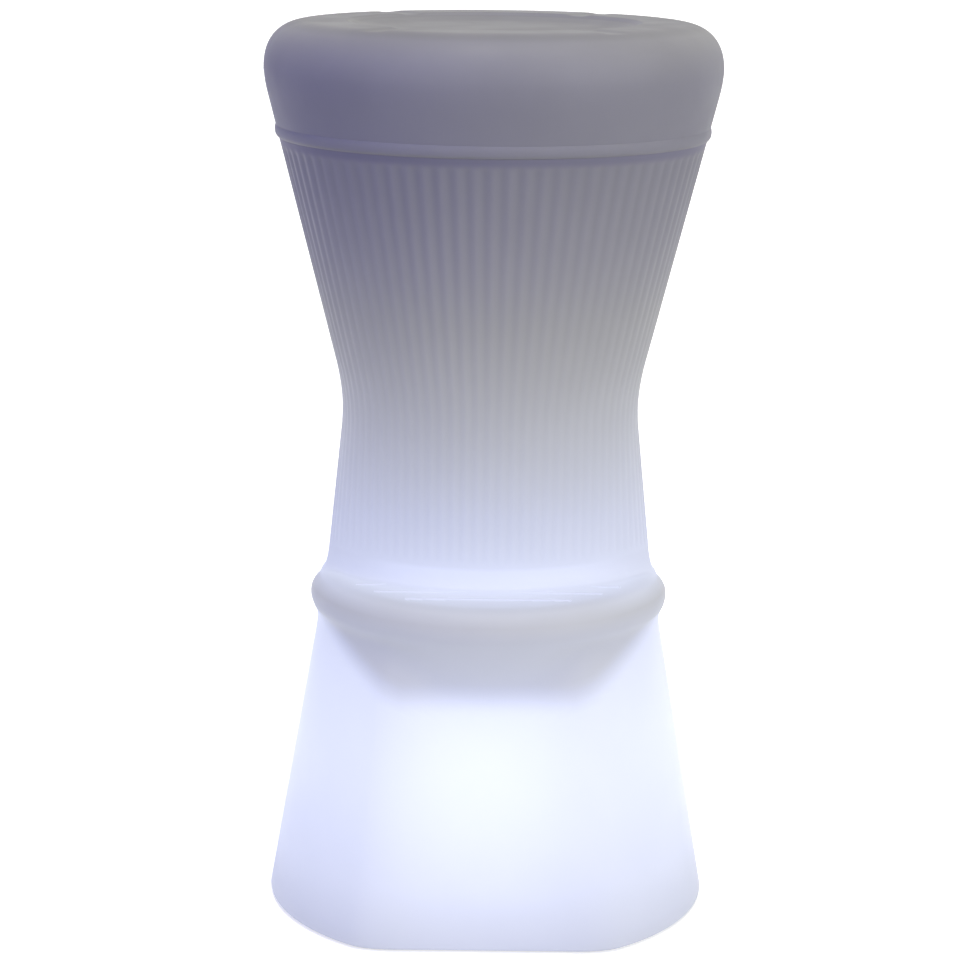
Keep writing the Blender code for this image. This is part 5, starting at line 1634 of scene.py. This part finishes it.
def set_roughness(tree: Tree, shader: bpy.types.Node, mottle: bpy.types.NodeSocket, middle: float,
                  spread_over: float) -> None:
    """Let a shader's roughness vary with a mottle.

    Args:
        tree: Tree of the material.
        shader: Its shader.
        mottle: The mottle, from 0 to 1.
        middle: Roughness in the middle of the mottle.
        spread_over: How far the roughness spreads from end to end.
    """
    half = spread_over / 2
    roughness = tree.ramp(mottle, 0.0, 1.0, middle - half, middle + half, smooth=False)
    tree.give(shader.inputs["Roughness"], roughness)


def set_relief(tree: Tree, shader: bpy.types.Node, height: bpy.types.NodeSocket, depth: float) -> None:
    """Give a shader a fine relief."""
    bump = tree.node("ShaderNodeBump", {"Height": height, "Distance": depth})
    tree.give(shader.inputs["Normal"], bump.outputs["Normal"])


def set_glow(tree: Tree, shader: bpy.types.Node, values: dict[str, object]) -> None:
    """Let the lamp's light through a shader.

    Args:
        tree: Tree of the material.
        shader: Its shader.
        values: What the inputs of the glow's group take.
    """
    lamp = tree.node("ShaderNodeGroup", values, node_tree=GROUPS.get("lamp_glow"))
    tree.give(shader.inputs["Emission Color"], lamp.outputs["Glow"])
    shader.inputs["Emission Strength"].default_value = 1.0


@dataclass(frozen=True)
class Finish:
    """A surface that varies a little between two colours, with a fine relief."""

    name: str
    slot: Slot
    colour: Colour
    second: Colour
    roughness: float
    roughness_spread: float = 0.08
    pattern: Pattern = Pattern.GRAIN
    pattern_scale: float = 900.0
    relief: float = 0.00002
    metallic: float = 0.0
    constants: dict[str, object] = field(default_factory=dict)
    glow: float = 0.0

    def make(self) -> bpy.types.Material:
        """Build the material.

        Returns:
            The material.
        """
        material, tree, shader = new_material(self.name, self.colour)
        group_name, scale_name = self.pattern.value
        effect = tree.node("ShaderNodeGroup", {scale_name: self.pattern_scale},
                           node_tree=GROUPS.get(group_name))
        mottle = effect.outputs["Mottle"]
        tree.give(shader.inputs["Base Color"], tree.mix(mottle, self.colour, self.second))
        set_roughness(tree, shader, mottle, self.roughness, self.roughness_spread)
        set_relief(tree, shader, effect.outputs["Height"], self.relief)
        shader.inputs["Metallic"].default_value = self.metallic
        for socket, value in self.constants.items():
            shader.inputs[socket].default_value = value
        if self.glow:
            set_glow(tree, shader, {"Level": self.glow})
        return material


@dataclass(frozen=True)
class LitPolyethylene:
    """Milky, rotomoulded polyethylene with the lamp's light coming through its wall, and painted shade in its
    colour.
    """

    name: str = "lit_milky_polyethylene"
    colour: Colour = (0.290, 0.288, 0.300)
    second: Colour = (0.278, 0.276, 0.288)
    mottle_scale: float = 14.0
    grain_scale: float = 620.0
    # Painted shade in the rib valleys: how much darker their colour is, and how much of the glow they lose.
    valley_shade_share: float = 0.95
    valley_glow_loss: float = 0.04
    # Tint of the painted shade under the bead: darker and more violet.
    bead_shade_tint: Colour = (0.80, 0.79, 0.91)
    # Painted shade on surfaces that face straight up: how dark, how patchy, and which facing gets it.
    top_shade_share: float = 0.86
    top_shade_least: float = 0.86
    top_shade_facing: tuple[float, float] = (0.80, 0.98)
    roughness: float = 0.48
    roughness_spread: float = 0.10
    relief: float = 0.00006
    gloss_level: float = 0.08

    def make(self) -> bpy.types.Material:
        """Build the material.

        Returns:
            The material.
        """
        material, tree, shader = new_material(self.name, self.colour)
        scales = {"Mottle Scale": self.mottle_scale, "Grain Scale": self.grain_scale}
        grain = tree.node("ShaderNodeGroup", scales, node_tree=GROUPS.get("surface_grain"))
        mottle = grain.outputs["Mottle"]
        valley, ledge, painted_bead_shade = (tree.mark(name) for name in MARKS)
        # Painted shade: the colour is darker in the rib valleys.
        painted_valley_shade = tuple(value * self.valley_shade_share for value in self.second)
        # Colour of the painted shade under the bead.
        deep = tuple(value * tint for value, tint in zip(self.second, self.bead_shade_tint))
        # Painted shade: surfaces that face straight up are made darker, in soft patches.
        top_shade_colour = tuple(value * self.top_shade_share for value in self.second)
        ribbed = tree.mix(valley, tree.mix(mottle, self.colour, self.second), painted_valley_shade)
        top_shade_patches = tree.ramp(mottle, 0.0, 1.0, self.top_shade_least, 1.0)
        painted_top_shade = tree.math("MULTIPLY", tree.ramp(tree.upward(), *self.top_shade_facing), top_shade_patches)
        tree.give(shader.inputs["Base Color"], tree.mix(painted_top_shade, tree.mix(painted_bead_shade, ribbed, deep), top_shade_colour))
        set_roughness(tree, shader, mottle, self.roughness, self.roughness_spread)
        set_relief(tree, shader, grain.outputs["Height"], self.relief)
        # Painted shade in the glow: weaker in the rib valleys, and on the ledge, lip and chin by the
        # ledge_shade mark.
        set_glow(tree, shader, {"Shade": tree.math("MULTIPLY_ADD", valley, self.valley_glow_loss, ledge)})
        shader.inputs["Specular IOR Level"].default_value = self.gloss_level
        return material


def metal(name: str, slot: Slot, colour: Colour, second: Colour, roughness: float, roughness_spread: float,
          line_scale: float) -> Finish:
    """Brushed or drawn metal, whose lines are as fine as their scale is large."""
    return Finish(name, slot, colour, second, roughness, roughness_spread, Pattern.BRUSHED, line_scale,
                  relief=0.00001, metallic=1.0)


FINISHES: dict[Slot, Finish] = {finish.slot: finish for finish in (
    Finish("dull_grey_rubber", Slot.RUBBER, (0.10, 0.10, 0.105), (0.14, 0.14, 0.145), 0.82, relief=0.00008),
    Finish("soft_silicone", Slot.SILICONE, (0.60, 0.62, 0.64), (0.54, 0.56, 0.58), 0.55,
           constants={"Subsurface Weight": 0.15, "Subsurface Radius": (0.003, 0.003, 0.003)}),
    Finish("moulded_white_plastic", Slot.WHITE, (0.78, 0.79, 0.80), (0.72, 0.73, 0.74), 0.40, relief=0.00003),
    Finish("lit_opal_plastic", Slot.OPAL, (0.88, 0.89, 0.91), (0.84, 0.85, 0.88), 0.36, glow=0.5),
    Finish("clear_green_plastic", Slot.CLEAR, (0.66, 0.90, 0.74), (0.60, 0.86, 0.70), 0.10,
           roughness_spread=0.04, relief=0.000004, constants={"Transmission Weight": 0.85, "IOR": 1.49}),
    Finish("moulded_black_plastic", Slot.BLACK, (0.022, 0.022, 0.025), (0.034, 0.034, 0.037), 0.44),
    metal("zinc_plated_steel", Slot.STEEL, (0.62, 0.63, 0.64), (0.54, 0.55, 0.57), 0.30, 0.14, 900.0),
    metal("turned_brass", Slot.BRASS, (0.76, 0.57, 0.26), (0.66, 0.48, 0.20), 0.34, 0.12, 700.0),
    metal("brushed_aluminium", Slot.ALUMINIUM, (0.76, 0.77, 0.78), (0.68, 0.69, 0.71), 0.38, 0.16, 500.0),
    Finish("green_solder_mask", Slot.BOARD, (0.012, 0.13, 0.055), (0.035, 0.22, 0.09), 0.34,
           roughness_spread=0.10, pattern=Pattern.TRACES, pattern_scale=260.0,
           constants={"Coat Weight": 0.4, "Coat Roughness": 0.2}),
    Finish("blue_cell_wrap", Slot.WRAP, (0.03, 0.12, 0.36), (0.04, 0.15, 0.42), 0.30, relief=0.00001,
           constants={"Coat Weight": 0.3, "Coat Roughness": 0.15}),
    Finish("black_webbing", Slot.WEBBING, (0.016, 0.016, 0.018), (0.05, 0.05, 0.055), 0.78,
           roughness_spread=0.10, pattern=Pattern.WEAVE, pattern_scale=0.0012, relief=0.0002,
           constants={"Sheen Weight": 0.3, "Sheen Roughness": 0.5}),
    Finish("red_lead_insulation", Slot.RED, (0.50, 0.02, 0.02), (0.42, 0.015, 0.015), 0.46, relief=0.00001),
)}


class Workshop:
    """Hands out materials and puts pieces in the scene."""

    def __init__(self) -> None:
        """Start with no material made and no CAD node replaced."""
        self.materials: dict[Slot, bpy.types.Material] = {}
        self.replaced: set[str] = set()

    def material(self, slot: Slot) -> bpy.types.Material:
        """Return a slot's material, made on its first use.

        Args:
            slot: The slot.

        Returns:
            The material.
        """
        if slot not in self.materials:
            finish = LitPolyethylene() if slot is Slot.SHELL else FINISHES[slot]
            self.materials[slot] = finish.make()
        return self.materials[slot]

    def add(self, name: str, mesh: bpy.types.Mesh, slot: Slot, body: Body, *nodes: str) -> bpy.types.Object:
        """Put a piece in the scene.

        Args:
            name: Name of the piece.
            mesh: Its mesh, in the stool's own frame.
            slot: Slot that its finish comes from.
            body: Body that it rides on.
            nodes: CAD nodes that it stands for.

        Returns:
            The new object.
        """
        piece = bpy.data.objects.new(name, mesh)
        bpy.context.scene.collection.objects.link(piece)
        mesh.materials.clear()
        mesh.materials.append(self.material(slot))
        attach(piece, body.value)
        if nodes:
            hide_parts(*nodes)
            self.replaced.update(nodes)
        log.info("%s: %d faces, rides %s", name, len(mesh.polygons), body.value)
        return piece


def node_slot(name: str) -> Slot:
    """Slot of a CAD node, from the record.

    Args:
        name: Name of the node.

    Returns:
        The slot.
    """
    for part in frame["record"]["subparts"]:
        if part["node"] == name:
            return Slot(part["material_slot"])
    raise KeyError(name)


@dataclass
class InnerParts:
    """CAD nodes that keep their solids and get a finish."""

    shop: Workshop

    def dress(self, done: set[str]) -> None:
        """Give every node that no piece stands for the finish of its slot.

        Args:
            done: Nodes that pieces stand for.
        """
        for name, node in frame["nodes"].items():
            if name in done:
                continue
            slot = node_slot(name)
            material = self.shop.material(slot)
            if not node.material_slots:
                node.data.materials.append(material)
            for holder in node.material_slots:
                holder.material = material
            log.info("%s keeps its solid in %s", name, material.name)


@dataclass(frozen=True)
class Lamp:
    """A soft, distant lamp: degrees down from overhead, round from the front towards +X, and wide."""

    name: str
    down: float
    across: float
    width: float
    strength: float
    colour: Colour
    in_gloss: bool = True

    def build(self) -> None:
        """Put the lamp in the scene."""
        data = bpy.data.lights.new(self.name, "SUN")
        data.energy = self.strength
        data.angle = radians(self.width)
        data.color = self.colour
        lamp = bpy.data.objects.new(self.name, data)
        down, across = radians(self.down), radians(self.across)
        toward = Vector((sin(down) * sin(across), -sin(down) * cos(across), cos(down)))
        lamp.rotation_euler = toward.to_track_quat("Z", "Y").to_euler()
        lamp.visible_glossy = self.in_gloss
        bpy.context.scene.collection.objects.link(lamp)


LAMPS = (
    Lamp("top_light", down=12.0, across=5.0, width=24.0, strength=2.00, colour=(1.0, 0.98, 0.74)),
    Lamp("left_light", down=68.0, across=-65.0, width=60.0, strength=1.42, colour=(0.22, 0.21, 1.0)),
    Lamp("front_light", down=84.0, across=46.0, width=60.0, strength=2.85, colour=(0.80, 0.80, 1.0)),
    Lamp("back_light", down=75.0, across=180.0, width=60.0, strength=0.8, colour=(1.0, 1.0, 0.9),
         in_gloss=False))


@dataclass
class Studio:
    """Floor, world, lamps and camera."""

    photo_width: int = 970
    principal_x: float = 489.5
    camera_place: Place = (0.0, -2.2939, 0.8991)
    camera_pitch: float = radians(13.1356)
    camera_roll: float = radians(0.6)
    focal_length: float = 101.31
    sensor_width: float = 36.0
    floor_reach: float = 24.0
    floor_colour: Colour = (0.55, 0.55, 0.55)
    floor_seen: Colour = (0.86, 0.86, 0.86)
    floor_white: float = 0.55
    sky_level: float = 0.08

    def build(self) -> None:
        """Set up everything round the stool."""
        self.build_camera()
        self.build_world()
        self.build_floor()
        for lamp in LAMPS:
            lamp.build()
        view = bpy.context.scene.view_settings
        view.view_transform = "Standard"

    def build_camera(self) -> None:
        """Camera at the photograph's viewing angle."""
        data = bpy.data.cameras.new("camera")
        data.sensor_fit = "HORIZONTAL"
        data.sensor_width = self.sensor_width
        data.lens = self.focal_length
        data.shift_x = (self.photo_width / 2 - self.principal_x) / self.photo_width
        camera = bpy.data.objects.new("camera", data)
        camera.location = self.camera_place
        tilt = Matrix.Rotation(pi / 2 - self.camera_pitch, 3, "X") @ Matrix.Rotation(self.camera_roll, 3, "Z")
        camera.rotation_euler = tilt.to_euler()
        bpy.context.scene.collection.objects.link(camera)
        bpy.context.scene.camera = camera

    def seen_ray(self, tree: Tree) -> bpy.types.NodeSocket:
        """1 for rays that see the surroundings: camera, glossy and transmission rays.

        Args:
            tree: Tree that the nodes are added to.

        Returns:
            The value.
        """
        path = tree.node("ShaderNodeLightPath").outputs
        some = tree.math("MAXIMUM", path["Is Camera Ray"], path["Is Glossy Ray"])
        return tree.math("MAXIMUM", some, path["Is Transmission Ray"])

    def build_world(self) -> None:
        """White to be seen, a dimmer level to light by."""
        world = bpy.data.worlds.new("studio")
        bpy.context.scene.world = world
        world.use_nodes = True
        tree = Tree(world.node_tree)
        world.node_tree.nodes.clear()
        seen = tree.node("ShaderNodeBackground", {"Color": (*WHITE, 1.0), "Strength": 1.0})
        lit = tree.node("ShaderNodeBackground", {"Color": (*WHITE, 1.0), "Strength": self.sky_level})
        mixed = tree.node("ShaderNodeMixShader",
                          {0: self.seen_ray(tree), 1: lit.outputs[0], 2: seen.outputs[0]})
        tree.node("ShaderNodeOutputWorld", {"Surface": mixed.outputs[0]})

    def build_floor(self) -> None:
        """Pale floor that stays white to the camera, keeps the stool's shadow and is clear from below."""
        work = bmesh.new()
        bmesh.ops.create_grid(work, x_segments=1, y_segments=1, size=self.floor_reach)
        mesh = bpy.data.meshes.new("floor")
        work.to_mesh(mesh)
        work.free()
        floor = bpy.data.objects.new("floor", mesh)
        bpy.context.scene.collection.objects.link(floor)
        material = bpy.data.materials.new("pale_floor")
        material.use_nodes = True
        tree = Tree(material.node_tree)
        material.node_tree.nodes.clear()
        lit = tree.node("ShaderNodeBsdfDiffuse", {"Color": (*self.floor_colour, 1.0)})
        shaded = tree.node("ShaderNodeBsdfDiffuse", {"Color": (*self.floor_seen, 1.0)})
        white = tree.node("ShaderNodeEmission", {"Color": (*WHITE, 1.0), "Strength": self.floor_white})
        seen = tree.node("ShaderNodeAddShader", {0: shaded.outputs[0], 1: white.outputs[0]})
        mixed = tree.node("ShaderNodeMixShader",
                          {0: self.seen_ray(tree), 1: lit.outputs[0], 2: seen.outputs[0]})
        below = tree.node("ShaderNodeNewGeometry").outputs["Backfacing"]
        clear = tree.node("ShaderNodeBsdfTransparent")
        whole = tree.node("ShaderNodeMixShader", {0: below, 1: mixed.outputs[0], 2: clear.outputs[0]})
        tree.node("ShaderNodeOutputMaterial", {"Surface": whole.outputs[0]})
        mesh.materials.append(material)


def main() -> None:
    """Build the studio and every piece in order."""
    logging.basicConfig(level=logging.INFO, format="%(message)s")
    Studio().build()
    shop = Workshop()
    low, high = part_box("stool_shell")
    form = ShellForm(height=high.z, base_radius=high.x, floor=low.z)
    shop.add("moulded_shell", MouldedShell(form).mesh(), Slot.SHELL, Body.ROOT, "stool_shell")
    RubberFeet().build(shop)
    LampUnit().build(shop)
    InnerParts(shop).dress(shop.replaced)


if __name__ == "__main__":
    main()
